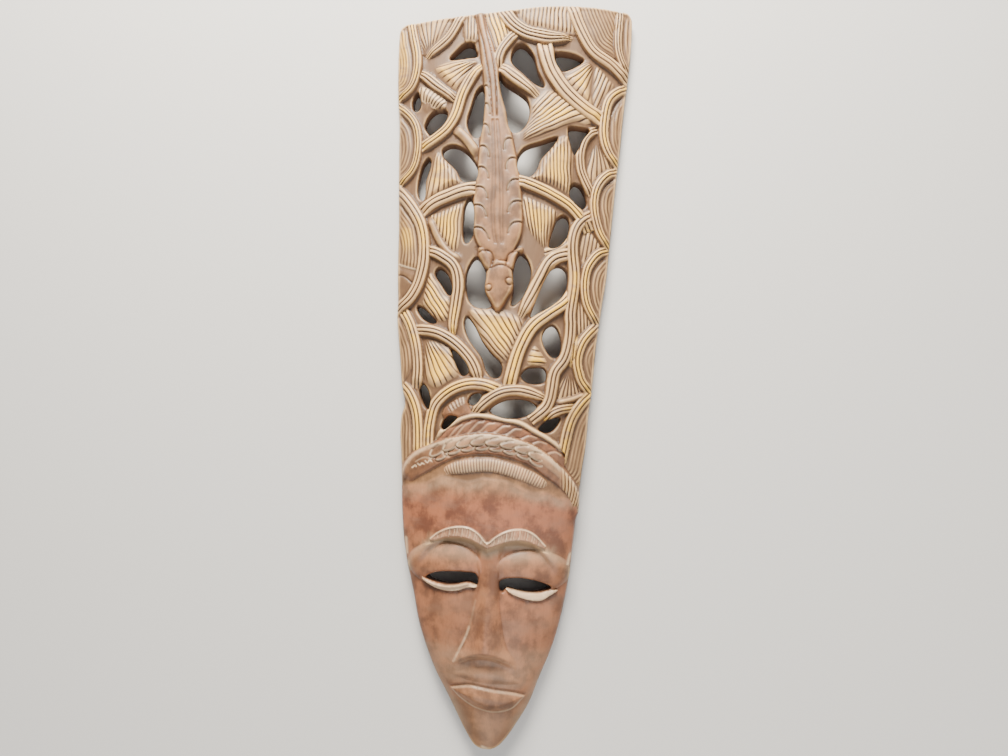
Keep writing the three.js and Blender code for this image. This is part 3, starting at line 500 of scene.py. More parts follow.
# The leaves and lined fields. Low fields between the strands, with veins that spread from
# a pole, run straight or follow a strand. Height of the middle, height of the edge, the
# veins, the golden heights, then the outline of the field.
LEAVES = (
    (-2.5, -5.5, ("pole", -38, 817, 9), ALL, ((-100, 810), (-89, 816), (-76, 818.5),
     (-59, 819.5), (-45, 818), (-41, 812), (-52, 798), (-68, 776), (-82, 785))),
    (-4.4, -5.6, ("plain",), NONE, ((-119, 786), (-104, 780), (-80, 760), (-80, 755),
     (-91, 757), (-99, 754), (-108, 750), (-114, 758), (-114, 768), (-119, 779))),
    (-2.2, -4.6, ("comb", -113, 740, 8.6), NONE, ((-118, 788), (-104, 782), (-82, 764),
     (-82, 756), (-90, 754), (-100, 757), (-109, 763), (-117, 772))),
    (-2, -5.5, ("pole", -82, 770, 3), (655, 688), ((-91, 699), (-86, 697), (-69, 678.5),
     (-56, 656), (-72, 649), (-101, 634), (-101.5, 661), (-96, 686))),
    (-3, -6, ("lines", 88, 4.6), ALL, ((-96, 617), (-81, 622), (-52, 631), (-51, 605),
     (-52, 578), (-60, 566), (-76, 580))),
    (-2.5, -6, ("lines", -55, 5), ALL, ((-88, 548), (-83, 542), (-68, 516.5), (-60, 512),
     (-61, 484), (-70, 480.5), (-80, 485), (-98, 503.5), (-98, 515), (-93, 541))),
    (-2.5, -5.5, ("pole", -100, 480, 6), ALL, ((-89, 460), (-75, 459), (-54, 447),
     (-44, 419), (-57, 408), (-75, 400), (-89, 412), (-91, 425))),
    (-2, -5, ("pole", 63, 386, 3.2), ALL, ((-38, 498), (-7, 498.5), (5, 498), (21, 493),
     (30, 485), (26, 466), (14, 438), (6, 435), (-9, 446), (-31, 480))),
    (-3, -6, ("lines", 2, 7.5), ALL, ((43, 459), (57, 445), (61, 437), (54, 432.5),
     (35, 432), (33, 440))),
    (-3, -6, ("pole", 52, 500, 2.1), ALL, ((19, 641), (38, 637), (65, 624), (58, 597),
     (50, 575), (33, 590), (20.5, 612))),
    (-1.5, -5.5, ("lines", 91, 4.3), ALL, ((61, 718), (73, 723), (82, 696), (82, 683),
     (78, 647), (55, 655), (21, 664), (33, 670), (42, 690))),
    (-2.5, -5.5, ("pole", -20, 689, 3.2), ALL, ((46, 780), (34, 770), (25, 757), (25, 742),
     (15, 719), (17, 709), (45, 718), (72, 733), (84, 739), (100, 738), (106, 746), (78, 766))),
    (-2.5, -5.5, ("pole", 108, 827, 9), ALL, ((88, 822), (96, 825), (103, 819), (100, 788),
     (104, 762), (85, 773), (66, 798), (70, 804))),
    (-4, -5.5, ("lines", 70, 5), NONE, ((104, 820), (126, 804), (131, 799), (115, 772),
     (112, 758), (104, 760), (100, 775), (101, 789))),
    (-4.5, -6, ("pole", 110, 728, 8), NONE, ((108, 720), (115, 717), (134, 688), (115, 675),
     (103, 657), (96, 687), (100, 704))),
    (-4.5, -6, ("lines", 80, 5), NONE, ((101, 608), (111, 602), (123, 587), (108, 570),
     (98, 558), (91, 579), (95.5, 602))),
    (-4, -5.5, ("lines", 95, 4.5), NONE, ((92, 522), (101, 513), (113, 492), (96, 471),
     (90, 472), (89, 498))),
    (-4.5, -6, ("pole", 88, 436, 8), NONE, ((86, 430), (95, 422), (104, 403), (91, 395),
     (71, 390), (70, 404), (80, 427))),
    (-3, -4.5, ("along", 0, 4), ALL, ((-151, 871), (-141, 871), (-134, 848), (-130, 826),
     (-130, 806), (-134, 793), (-149, 779))),
    (-3, -4.5, ("pole", -107, 822, 8), NONE, ((-130, 875), (-80, 875.5), (-86, 856),
     (-97, 844), (-116, 829), (-126, 864))),
    (-3, -4.5, ("lines", 90, 4.2), NONE, ((-62, 876), (-51, 876.5), (-44, 842), (-60, 841))),
    (-3, -4.5, ("lines", -73, 5), ALL, ((-40, 877.5), (-20, 879.5), (-3, 852), (-19, 826),
     (-32, 852))),
    (-3, -4.5, ("lines", 88, 5), NONE, ((2, 882), (70, 892), (80, 862), (78, 855), (33, 857),
     (12, 862))),
    (-3, -4.5, ("along", 31, 4.4), NONE, ((80, 893), (130, 896), (128, 850), (130, 834),
     (116, 838), (104, 844), (88, 870))),
    (-3, -4.5, ("along", 32, 4.4), NONE, ((140, 896), (149, 888), (149, 840), (147, 818),
     (139, 840), (138, 860))),
    (-3, -4.5, ("along", 28, 4.4), NONE, ((145, 790), (141, 745), (138, 700), (128, 712),
     (124, 730), (125, 750))),
    (-3, -4.5, ("along", 27, 4.4), NONE, ((136, 676), (132, 635), (129, 592), (122, 605),
     (115, 640), (118, 656))),
    (-3.5, -5, ("along", 20, 4.4), NONE, ((129, 578), (125, 530), (120, 494), (112, 508),
     (107, 532), (112, 560))),
    (-3, -4.5, ("along", 21, 4.4), NONE, ((118, 480), (116, 445), (114, 408), (106, 420),
     (102, 440), (108, 465))),
    (-3, -4.5, ("along", 5, 4.4), NONE, ((-146, 760), (-141, 705), (-139, 665), (-128, 675),
     (-121, 705), (-126, 733))),
    (-3, -4.5, ("along", 7, 4.4), (578, 607), ((-137, 638), (-134, 570), (-133, 557),
     (-107, 549), (-105, 570), (-114, 610))),
    (-4, -5, ("plain",), NONE, ((-133, 554), (-107, 546), (-109, 533), (-129, 508))),
    (-3, -4.5, ("along", 10, 4.4), NONE, ((-129, 488), (-124, 450), (-118, 408), (-108, 420),
     (-103, 440), (-115, 480))),
    (-3, -4.5, ("along", 14, 4.4), NONE, ((-114, 388), (-115, 345), (-109, 300),
     (-92, 312), (-99, 345), (-106, 378))),
    (-3, -4.5, ("along", 23, 4.4), NONE, ((112, 392), (110, 345), (104, 285),
     (86, 310), (92, 345), (101, 380))),
)
LEAF_SLOPE = 9.0
VEIN_CUT = 1.1
CLOSEST_VEINS = 2.2
FIELD_CUT = 0.5
COMB_WEAR = 0.18
LEDGE_EDGE = ((-133, 557), (-122, 553), (-107, 548))
LEDGE_FOLD = ((-133, 543), (-124, 541), (-110, 530))


def veins(pattern, loop, x, y):
    """Phase of the veins, one line at each whole number, how far they are cut, and their
    pitch in mm."""
    kind = pattern[0]
    full = np.ones(len(x))
    if kind in ("pole", "comb"):
        px, py, degrees = pattern[1:]
        middle = loop.mean(axis=0)
        toward = complex(middle[0] - px, middle[1] - py)
        angle = np.angle((x - px + 1j * (y - py)) / toward)
        spacing = np.hypot(x - px, y - py) * math.radians(degrees)
        return angle / math.radians(degrees), ease((spacing - 0.6) / CLOSEST_VEINS), spacing
    if kind == "lines":
        angle, spacing = math.radians(pattern[1]), pattern[2]
        return (y * math.cos(angle) - x * math.sin(angle)) / spacing, full, spacing
    if kind == "along":
        gap = nearest(strand_paths[pattern[1]], x, y)[0]
        return np.abs(gap) / pattern[2], full, pattern[2]
    return 0.5 * full, 0 * full, 4.0


leaf_loops = [smooth_path(points, 3.0, closed=True) for *_, points in LEAVES]


def carve_leaves(carving):
    """Every low field with its veins, and the folded ledge at the left edge."""
    for (top, edge, pattern, gold, points), loop in zip(LEAVES, leaf_loops):
        near = near_box(loop, carving.x, carving.y, 1)
        near = near[in_loop(loop, carving.x[near], carving.y[near])]
        x, y = carving.x[near], carving.y[near]
        inward = np.abs(nearest(loop, x, y)[0])
        height = edge - 0.6 + (top - edge + 0.6) * ease(inward / LEAF_SLOPE)
        phase, strength, pitch = veins(pattern, loop, x, y)
        phase = phase + 0.22 * hand_work(x, y, 16, 16, top)
        strength = strength * (0.8 + 0.35 * hand_work(x, y, 12, 12, edge))
        comb = pattern[0] == "comb"
        inner = ease((inward - 0.8) / (1 if comb else 4))
        inner = inner * (FIELD_CUT if pattern[0] == "along" else 1.3 if comb else 1)
        middle = ease((inward / inward.max() - 0.22) / 0.5)
        carving.lay(near, height, phase, pitch, VEIN_CUT * strength * inner,
                    between(gold, y) * middle, COMB_WEAR * comb)
    carving.score(smooth_path(LEDGE_EDGE, 2.0), -0.6, 0.9, cream=0.7)
    carving.score(smooth_path(LEDGE_FOLD, 2.0), 1.2, 1.0, dirt_and_shade=0.9)


# The lizard. It hangs head down along the middle of the crest: a tail and body with
# rows of scales cut as arcs, two front legs, and a head with two beaded eyes.
# Width, height against the plain front, then the centre line with its widths.
LIZARD = (
    (20, 0.5, ((-45, 879, 9), (-39, 853, 10), (-33, 831, 14), (-28, 808, 17), (-23, 776, 18),
     (-18.5, 742, 27), (-14.5, 704, 39), (-11, 665, 49), (-9.5, 630, 57), (-8.5, 605, 58),
     (-6, 583, 50), (-4, 570, 34), (-3, 558, 16))),
    (12, 1.0, ((-27, 571, 4), (-22, 562, 12), (-17, 553, 11), (-14, 546, 4))),
    (12, 1.0, ((21, 572, 4), (15.5, 563, 12), (11, 554, 11), (8.5, 547, 4))),
    (26, 2.5, ((0, 555, 19), (-2, 544, 27), (-3, 531, 32), (-3.5, 518, 27), (-3, 508, 15),
     (-3, 499, 5))),
)
SCALE_STEPS_LEFT = (779, 756, 729, 701, 674, 649, 626, 598)
SCALE_STEPS_RIGHT = (711, 686, 659, 632, 606)
SCALE_ARC = ((1.0, 0), (0.84, 0.2), (0.66, 2), (0.52, 7), (0.45, 15))
SPINE_LINES = (-0.24, -0.13, 0.12, 0.24)
NECK_LINE = ((-14, 547), (-1, 551), (12, 547))
LEG_LINES = (((-28, 567), (-22, 569), (-14.5, 567), (-11, 559), (-12, 551)),
             ((22, 567), (15, 569), (7.5, 565), (5, 557), (5, 551)))
TAIL_LINES = (((-41, 878), (-35, 853), (-29, 832), (-23, 808), (-19, 785), (-17, 762),
               (-15.5, 738)),
              ((-48, 878), (-43, 853), (-37, 832), (-32, 808), (-27, 785), (-24, 762),
               (-21, 738)))
LIZARD_EYES = ((-14.7, 523.3, 3.5), (9.7, 532, 4))
LIZARD_RED = 0.25

lizard_paths = [as_path(points, width) for width, lift, points in LIZARD]
body_path = lizard_paths[0]


def body_point(height_over_chin, across):
    """A plan point on the body at a height, and at a place across it from -1 to 1."""
    order = body_path[::-1]
    middle = np.interp(height_over_chin, order[:, 1], order[:, 0])
    wide = np.interp(height_over_chin, order[:, 1], order[:, 2])
    return (middle + across * wide / 2, height_over_chin)


def carve_lizard(carving):
    """Tail and body, legs and head, then the scales, the spine and the beaded eyes."""
    for (_, lift, _), path in zip(LIZARD, lizard_paths):
        near = near_box(path, carving.x, carving.y, path[:, 2].max() / 2 + 4)
        height = bar(path, lift, carving.x[near], carving.y[near], 0)[0]
        carving.lay(near, height, red=LIZARD_RED)
    for side, steps in ((-1, SCALE_STEPS_LEFT), (1, SCALE_STEPS_RIGHT)):
        for step in steps:
            arc = [body_point(step - drop, side * across)
                   for across, drop in SCALE_ARC]
            carving.score(smooth_path(arc, 1.5), 1.5, 1.1, dirt_and_shade=1.0)
            lit = [(px, py + 1.9) for px, py in arc]
            carving.score(smooth_path(lit, 1.5), -0.6, 0.9, cream=0.3)
    for across in SPINE_LINES:
        spine = [body_point(level, across) for level in range(578, 746, 12)]
        carving.score(smooth_path(spine, 4.0), 0.8, 0.8, dirt_and_shade=0.5)
    for line in (NECK_LINE, *LEG_LINES, *TAIL_LINES):
        carving.score(smooth_path(line, 2.0), 1.3, 1.0, dirt_and_shade=0.8)
    for x, y, radius in LIZARD_EYES:
        near = np.flatnonzero(np.hypot(carving.x - x, carving.y - y) < radius * 1.5)
        reach = np.hypot(carving.x[near] - x, carving.y[near] - y) / radius
        carving.height[near] += 1.6 * np.sqrt(np.maximum(0, 1 - reach**2))
        carving.height[near] -= 1.2 * np.exp(-((reach - 1.15) / 0.22)**2)


# The headband. A scaled snake lies across the forehead with a ribbed fringe under it.
# Over it are a crescent of feathers with a thin rim, and a cock's head. The points of a
# bar carry its width.
BAND = (
    (-106, 287, 9), (-100, 299, 20), (-90, 310, 26), (-76, 319, 26), (-60, 327, 23),
    (-45, 333, 21), (-15, 338.5, 21), (5, 338, 21), (23, 335, 21), (41, 329.5, 21),
    (55, 322, 20), (69, 312, 19), (82, 301.5, 17), (92, 291, 15), (99, 278, 12), (103, 262, 9),
)
FRINGE = (
    (-59, 301, 5), (-50, 306, 10), (-38, 309.5, 14), (-5, 314, 14), (12, 312, 14),
    (44, 302.5, 13.5), (58, 296, 11), (70, 292, 4),
)
RIM = (
    (-69, 338), (-61, 351), (-45, 362.5), (-33, 368), (-20, 370.5), (13, 367), (31, 363.5),
    (45, 356.5), (64, 347), (76, 339), (85, 330),
)
BAND_LIFT = 3.0
FRINGE_LIFT = 2.0
RIM_LIFT = -0.2
SCALE_PITCH = 17.0
SCALE_START = -4
SCALE_PLACES = range(3, 11)
UPPER_SCALE = ((0.84, 0.72), (0.56, 0.6), (0.25, 0.33), (0.03, 0.03), (0.1, -0.2), (0.42, -0.3),
               (0.82, -0.24), (1.03, 0.0))
LOWER_SCALE = ((0.42, -0.32), (0.3, -0.5), (0.36, -0.72), (0.68, -0.84), (1.06, -0.74),
               (1.26, -0.5))
TAIL_HATCH = 6.0
FRINGE_RIBS = 40
FRINGE_LENGTH = 140
CRESCENT_LIFT = -2.6
# Where the cuts between the feathers start, and how each one climbs from there.
FEATHERS = (-61, -51, -36, -23, -5, 9, 27, 39, 57)
FEATHER = ((0, 0.1), (6, 0.22), (11, 0.46), (16, 0.66), (22, 0.74))
SNAKE_EYE = ((-91, 313), (-86, 316.5), (-79, 319), (-73, 317.5), (-70, 314))
SNAKE_SPLIT = ((-56, 341), (-58, 331), (-57, 323), (-50, 321))
CHIPS = (((-95, 306), (-91, 309), (-90, 307.5)), ((-88, 311), (-85, 309.5), (-83, 312), (-80, 311)),
         ((-79, 315), (-76, 313), (-74, 316), (-71, 315)), ((-72, 318.5), (-69.5, 320)))
COCK = ((-62, 372), (-57, 381), (-50, 386), (-41, 390.5), (-36, 389), (-30, 379), (-27, 372),
        (-38, 366.5), (-50, 364), (-60, 366))
COMB_RIBS = (((-56, 380), (-52, 374)), ((-52.5, 383), (-48.5, 377)),
             ((-48.5, 386), (-45, 379.5)), ((-44.5, 388.5), (-42, 381.5)),
             ((-40.5, 390), (-38.5, 383.5)))

band_path = as_path(BAND, 20)
fringe_path = as_path(FRINGE, 14)
rim_path = as_path(RIM, 4.5)
cock_loop = smooth_path(COCK, 2.0, closed=True)
band_run = np.linalg.norm(np.diff(band_path[:, :2], axis=0), axis=1).sum()


def band_line(x):
    """Height over the chin of the middle of the headband."""
    return np.interp(x, band_path[:, 0], band_path[:, 1])


def band_point(run, across):
    """A plan point on the headband, at a length along it and a place across it."""
    spot = np.clip(run / band_run * (len(band_path) - 1), 0, len(band_path) - 1.01)
    step = int(spot)
    before, after = band_path[step], band_path[step + 1]
    middle = before + (after - before) * (spot - step)
    along = (after - before)[:2] / np.linalg.norm((after - before)[:2])
    return (middle[0] - along[1] * across * middle[2] / 2,
            middle[1] + along[0] * across * middle[2] / 2)


def scale_point(place, across):
    """A plan point on the headband, its length along it counted in scales."""
    return band_point(place * SCALE_PITCH + SCALE_START, across)


def between_lines(x, share):
    """A height at a share of the way from the headband up to the thin rim."""
    top = np.interp(x, rim_path[:, 0], rim_path[:, 1])
    low = band_line(x) + 10.5
    return low + (top - low) * share


def carve_crescent(carving):
    """The red field between the headband and its thin rim, the rim, and a cock's head."""
    rim_line = np.interp(carving.x, rim_path[:, 0], rim_path[:, 1], left=0, right=0)
    near = np.flatnonzero((carving.y < rim_line) & (carving.y > band_line(carving.x)))
    inward = rim_line[near] - carving.y[near]
    height = CRESCENT_LIFT - 2.2 * (1 - ease(inward / 9))
    carving.height[near] = GROUND
    carving.lay(near, height, red=0.62)
    carving.dirt_and_shade[near] = np.maximum(carving.dirt_and_shade[near], 0.2 * ease((inward - 3) / 8))
    for start in FEATHERS:
        cut = [(start + step, between_lines(start + step, share)) for step, share in FEATHER]
        carving.score(smooth_path(cut, 1.5), 0.9, 1.1, dirt_and_shade=0.45)
        below = [(px + 1.2, py - 2.0) for px, py in cut]
        carving.score(smooth_path(below, 1.5), -0.6, 1.0, cream=0.25)
    near = near_box(rim_path, carving.x, carving.y, 8)
    near = near[carving.y[near] > band_line(carving.x[near])]
    height, across, _, _ = bar(rim_path, RIM_LIFT, carving.x[near], carving.y[near])
    carving.lay(near, height, cream=0.3 * (np.abs(across) < 1.0))
    near = near_box(cock_loop, carving.x, carving.y, 1)
    near = near[in_loop(cock_loop, carving.x[near], carving.y[near])]
    inward = np.abs(nearest(cock_loop, carving.x[near], carving.y[near])[0])
    carving.lay(near, -3.8 + 2.6 * ease(inward / 6), red=0.4)
    for rib in COMB_RIBS:
        carving.score(smooth_path(rib, 1.5), 1.0, 0.8, dirt_and_shade=0.7)
        beside = [(px + 2.0, py + 0.9) for px, py in rib]
        carving.score(smooth_path(beside, 1.5), -0.6, 0.9, cream=0.55)


def carve_band(carving):
    """The snake: scales along its back, a hatched tail, an eye and a few chips."""
    near = near_box(band_path, carving.x, carving.y, 16)
    x, y = carving.x[near], carving.y[near]
    height, across, along, _ = bar(band_path, BAND_LIFT, x, y)
    run = along * band_run
    scaled = ease((x + 58) / 5) * ease((86 - x) / 10)
    over = ease((across + 0.25) / 0.2)
    body = np.abs(across) < 1
    height = height + scaled * (0.8 * over - 0.3) * body
    edge_line = np.exp(-((across - 0.86) / 0.16)**2)
    crown = scaled * (0.12 * over + 0.4 * ease((across - 0.45) / 0.3)) * body
    tail = ease((x - 78) / 8)
    hatch = (run + 9 * across) / TAIL_HATCH
    cream = np.maximum(crown, 0.5 * edge_line * body)
    carving.lay(near, height, hatch, TAIL_HATCH, 1.0 * tail * body, cream=cream,
                red=0.5 - 0.16 * over)
    shown = near[np.abs(carving.height[near] - height) < 1e-9]
    soil = np.maximum(0.24 * scaled * (1 - over), 0.42 * (1 - scaled) * (across < 0.7))
    carving.dirt_and_shade[shown] = soil[np.searchsorted(near, shown)]
    for place in SCALE_PLACES:
        for scale, deep in ((UPPER_SCALE, 1.6), (LOWER_SCALE, 1.0)):
            edge = [scale_point(place + step, side) for step, side in scale]
            lit = [scale_point(place + step + 0.07, side + 0.13) for step, side in scale[2:]]
            carving.score(smooth_path(edge, 1.5), deep, 1.1, dirt_and_shade=0.95)
            carving.score(smooth_path(lit, 1.5), -0.5, 0.9, cream=0.75)
    carving.score(smooth_path(SNAKE_EYE, 2.0), 0.6, 0.7, cream=0.35)
    carving.score(smooth_path(SNAKE_SPLIT, 2.0), 1.0, 1.0, cream=0.4)
    for chip in CHIPS:
        carving.score(smooth_path(chip, 1.2), 0.8, 0.7, cream=1.0)


def carve_fringe(carving):
    """The ribbed fringe under the snake, and a darker colour in the groove around it."""
    near = near_box(fringe_path, carving.x, carving.y, 10)
    height, across, along, _ = bar(fringe_path, FRINGE_LIFT, carving.x[near], carving.y[near])
    height -= 1.2 * np.maximum(0, np.abs(across) - 1) * 7
    body = ease((1.1 - np.abs(across)) / 0.15)
    pitch = FRINGE_LENGTH / FRINGE_RIBS
    carving.lay(near, height, along * FRINGE_RIBS, pitch, 0.55 * body, cream=0.27 * body,
                red=0.5)
    beside = ease((2.1 - np.abs(across)) / 0.6) * ease((np.abs(across) - 1.0) / 0.2)
    carving.dirt_and_shade[near] = np.maximum(carving.dirt_and_shade[near], 0.34 * beside)


# The face. A narrow polished face with a high forehead, ticked brows over heavy lids,
# pierced eye slits on pale ledges, a long nose that widens downward, and full lips.
BROW_EDGE = ((-98, 190), (-84, 207), (-68, 223), (-50, 231), (-34, 232.5), (-20, 230),
             (-8, 224), (0, 220), (8, 224), (20, 229), (34, 231), (50, 228.5), (66, 219),
             (82, 206), (98, 194))
BROW_DROP = 8.0
BROWS = (
    ((-67, 224, 2), (-58, 229.5, 8), (-47, 234, 11), (-34, 236, 12), (-21, 235, 12),
     (-10, 229.5, 10), (-1, 222, 5)),
    ((-1, 222, 5), (9, 228.5, 10), (20, 233, 12), (34, 236, 12), (46, 234.5, 11),
     (56, 229, 8), (65, 222, 2)),
)
BROW_TICK_STEP = 3
BROW_LIFT = 1.6
BROW_RED = 0.85
BROW_WEAR = 0.12
TICK_WEAR = 0.48
LIDS = ((-51, 196, 45, 27), (54, 194, 44, 25))
LID_HEIGHT = 8.5
LEDGES = (
    ((-76, 178.5, 1.5), (-69, 174.3, 3.5), (-60, 171.3, 5), (-47, 170, 5.6), (-34, 171.6, 6),
     (-23, 175.3, 5), (-11, 175, 1.5)),
    ((23, 174, 1.5), (30, 171, 4.5), (41, 167.6, 6), (52, 165.6, 7.5), (63, 165.2, 8),
     (72, 168.6, 6), (82, 172, 1.5)),
)
LEDGE_LIFT = 3.5
LEDGE_WEAR = 0.72
NOSE_CENTRE = ((86, 2), (120, 2), (180, 3))
NOSE_HALF_WIDTH = ((84, 37), (95, 34), (106, 26), (120, 21), (135, 18), (155, 14), (180, 12))
NOSE_HEIGHT = ((84, 13), (106, 15), (120, 14), (150, 10), (180, 5), (205, 2))
NOSE_BASE = 102.0
UPPER_LIP = ((-32, 73, 3), (-20, 75.5, 12), (-4, 77.5, 20), (14, 77, 21), (30, 73, 14),
             (43, 68, 3))
UPPER_LIP_LIFT = 2.6
LOWER_LIP_TOP = ((-35, 56.5), (-24, 60), (-12, 62.5), (4, 61), (20, 58.5), (36, 56),
                 (49, 52))
LOWER_LIP_EDGE = ((-35, 56.5), (-26, 49), (-12, 41.5), (4, 37), (20, 35.5), (36, 39.5),
                  (49, 52))
LOWER_LIP_LIFT = 5.0
FACE_RED = ((-11, 0.15), (35, 0.3), (60, 0.5), (110, 0.62), (215, 0.68), (240, 1), (270, 1),
            (296, 0.35))
BRIDGE_DIRT = 0.26
BRIM_DIRT = 0.22
# Painted light on the face: a sheen on the lids, a gloss under the forehead's edge, light in the
# shaded valley under the brows and a reflection on the upper lip.
LID_PAINTED_SHEEN = 0.2
BRIM_PAINTED_GLOSS = 0.17
VALLEY_PAINTED_LIGHT = 0.24
LIP_PAINTED_REFLECTION = 0.1
FACE_LINES = (
    (((-68, 225.5), (-59, 233), (-47, 239), (-34, 242), (-22, 241), (-11, 235), (-1, 225.5),
      (9, 233), (20, 239.5), (32, 242.5), (42, 242), (52, 237.5), (66, 224)), -1.1, 0.8, 0.9, 0),
    (((-52, 222), (-34, 223), (-20, 217), (-11, 207)), 0.3, 1.6, 0.08, 0),
    (((46, 218.5), (30, 218), (18, 213), (13, 205)), 0.3, 1.6, 0.08, 0),
    (((-12, 214), (-11.5, 202), (-9.5, 190)), 0.7, 1.4, 0, 0.25),
    (((15, 210), (14, 198), (14.5, 187)), 0.7, 1.4, 0, 0.25),
    (((-99.5, 222), (-97.5, 205)), 0.5, 1.8, 0.8, 0),
    (((96, 214), (93.5, 203)), 0.5, 1.8, 0.8, 0),
    (((4, -7), (9, -9)), 0.5, 1.8, 0.8, 0),
    (((-11, 160), (-13, 150), (-16, 134), (-20, 120)), -0.6, 1.3, 0.1, 0),
    (((-17, 130), (-20, 120), (-26, 106), (-34, 88)), -0.6, 1.3, 0.45, 0),
    (((-34, 87), (-24, 95), (-12, 100.5), (-2, 101.5), (12, 99), (24, 94), (36, 87)),
     -0.3, 0.7, 0.2, 0),
    (((-26, 88), (-14, 95), (-2, 97.5), (12, 95), (26, 88)), -0.3, 0.7, 0.2, 0),
    ([(px, py + 1.8) for px, py in LOWER_LIP_TOP], 1.5, 1.8, 0, 0.3),
    (LOWER_LIP_TOP, -0.6, 1.2, 0.28, 0),
    (LOWER_LIP_EDGE, -0.5, 0.9, 0.35, 0),
)
FOREHEAD_LINE = ((-101, 284), (-80, 289), (-58, 299), (-43, 296), (-27, 294), (-9, 299),
                 (18, 297), (34, 291), (50, 285), (66, 287), (80, 280))


def dome(centre_x, centre_y, a, b, x, y):
    """The upper half of an ellipsoid, 1 high in the middle."""
    return np.sqrt(np.maximum(0, 1 - ((x - centre_x) / a)**2 - ((y - centre_y) / b)**2))


def nose(x, y):
    """A ridge that widens and rises toward its curved base."""
    across = np.abs(x - table(NOSE_CENTRE, y)) / table(NOSE_HALF_WIDTH, y)
    body = np.maximum(0, 1 - across**1.6) * ease((y - (NOSE_BASE - 16 * across**2) + 9) / 14)
    return table(NOSE_HEIGHT, y) * body * (1 - ease((y - 185) / 35))


def across_bar(points, x, y, step, reach):
    """The points near a bar, the share of the way from its middle line to its side, and
    its width there."""
    path = as_path(points, 0, step)
    near = near_box(path, x, y, reach)
    distance, values, _ = nearest(path, x[near], y[near])
    return near, 2 * np.abs(distance) / values[:, 0], values[:, 0]


def face_height(x, y):
    """Height of the face over the plain front: brows, lids, nose and lips."""
    below = ease((table(BROW_EDGE, x) - y) / (9 + 9 * ease((np.abs(x) - 55) / 25)))
    middle = 1 - ease((np.abs(x - 2) - 8) / 10)
    cheek = ease((182 - y) / 45)
    side = 1 - 0.6 * ease((np.abs(x) - 62) / 30)
    height = 2.5 * np.exp(-((y - 268) / 35)**2) - 1.5
    height -= BROW_DROP * below * side * (1 - 0.45 * middle) * (1 - 0.75 * cheek)
    height += LID_HEIGHT * np.maximum(*(dome(*lid, x, y) for lid in LIDS))**1.3
    height += nose(x, y)
    lens = np.array(LOWER_LIP_TOP + LOWER_LIP_EDGE[::-1][1:], float)
    near = near_box(lens, x, y, 2)
    near = near[in_loop(lens, x[near], y[near])]
    inward = np.abs(nearest(lens, x[near], y[near])[0])
    height[near] += LOWER_LIP_LIFT * ease((inward + 3) / 13)
    near, across, width = across_bar(UPPER_LIP, x, y, 3.0, 12)
    swell = np.maximum(0, 1 - across**2)**1.5
    height[near] += UPPER_LIP_LIFT * swell * np.minimum(1, width / 18)
    return height


def stain_face(face):
    """Redness and dirt of the face, a painted sheen on the lids and under the forehead's edge,
    a painted reflection on the upper lip, painted light in the valley under the brows, and
    the step where its polish ends.
    """
    valley = np.exp(-((table(BROW_EDGE, face.x) - 4 - face.y) / 9)**4)
    lids = np.maximum(*(dome(*lid, face.x, face.y) for lid in LIDS))
    valley *= 1 - 0.9 * ease((lids - 0.15) / 0.5)
    face.red[:] = table(FACE_RED, face.y) * (1 - valley)
    bridge = np.exp(-((face.x - 2) / 11)**2) * ease((face.y - 135) / 25)
    face.dirt_and_shade[:] = BRIDGE_DIRT * bridge * (1 - ease((face.y - 205) / 14))
    # Painted highlights: a sheen along the lids and a gloss under the forehead's edge.
    lid_highlight = np.exp(-((face.y - 213) / 10)**2) * ease(lids / 0.4)
    brim = np.interp(face.x, *np.array(FOREHEAD_LINE).T)
    brim_highlight = np.exp(-((face.y - brim + 7) / 6)**2)
    # A painted reflection over the upper lip. With the painted light in the valley, all are laid in
    # as cream.
    lip_reflection = ease((112 - face.y) / 12) * ease((face.y - 58) / 10)
    painted_light = ((LID_PAINTED_SHEEN, lid_highlight), (BRIM_PAINTED_GLOSS, brim_highlight), (VALLEY_PAINTED_LIGHT, valley), (LIP_PAINTED_REFLECTION, lip_reflection))
    face.cream[:] = np.max([share * where for share, where in painted_light], axis=0)
    shade = ease((face.y - brim + 3) / 5)
    face.dirt_and_shade[:] = np.maximum(face.dirt_and_shade, BRIM_DIRT * shade)
    face.red[:] *= 1 - 0.6 * shade
    face.height -= 1.0 * shade


def carve_brow(face, brow):
    """A low crescent in a redder stain, crossed by short pale ticks that lean by turns."""
    near, across, _ = across_bar(brow, face.x, face.y, 2.0, 9)
    inside = ease((1.15 - across) / 0.3)
    face.height[near] += BROW_LIFT * inside
    face.cream[near] = np.maximum(face.cream[near], BROW_WEAR * inside)
    face.dirt_and_shade[near] *= 1 - inside
    face.red[near] += (BROW_RED - face.red[near]) * inside
    ticks = as_path(brow, 0, BROW_TICK_STEP)[2:-2]
    for place, (px, py, wide) in enumerate(ticks):
        lean = 0.22 * math.sin(2.4 * place)
        foot, head = py - wide * (0.3 + lean / 2), py + wide * 0.42
        tick = ((px - 0.8, foot), (px + 3 * lean, py), (px + 0.6, head))
        face.score(smooth_path(tick, 1.5), 0.7, 0.6, cream=TICK_WEAR + lean)


def carve_ledge(face, ledge):
    """A narrow shelf of bare wood under an eye slit."""
    near, across, _ = across_bar(ledge, face.x, face.y, 2.0, 9)
    shelf = ease((1.25 - across) / 0.4)
    face.height[near] += LEDGE_LIFT * shelf
    face.cream[near] = np.maximum(face.cream[near], LEDGE_WEAR * shelf)


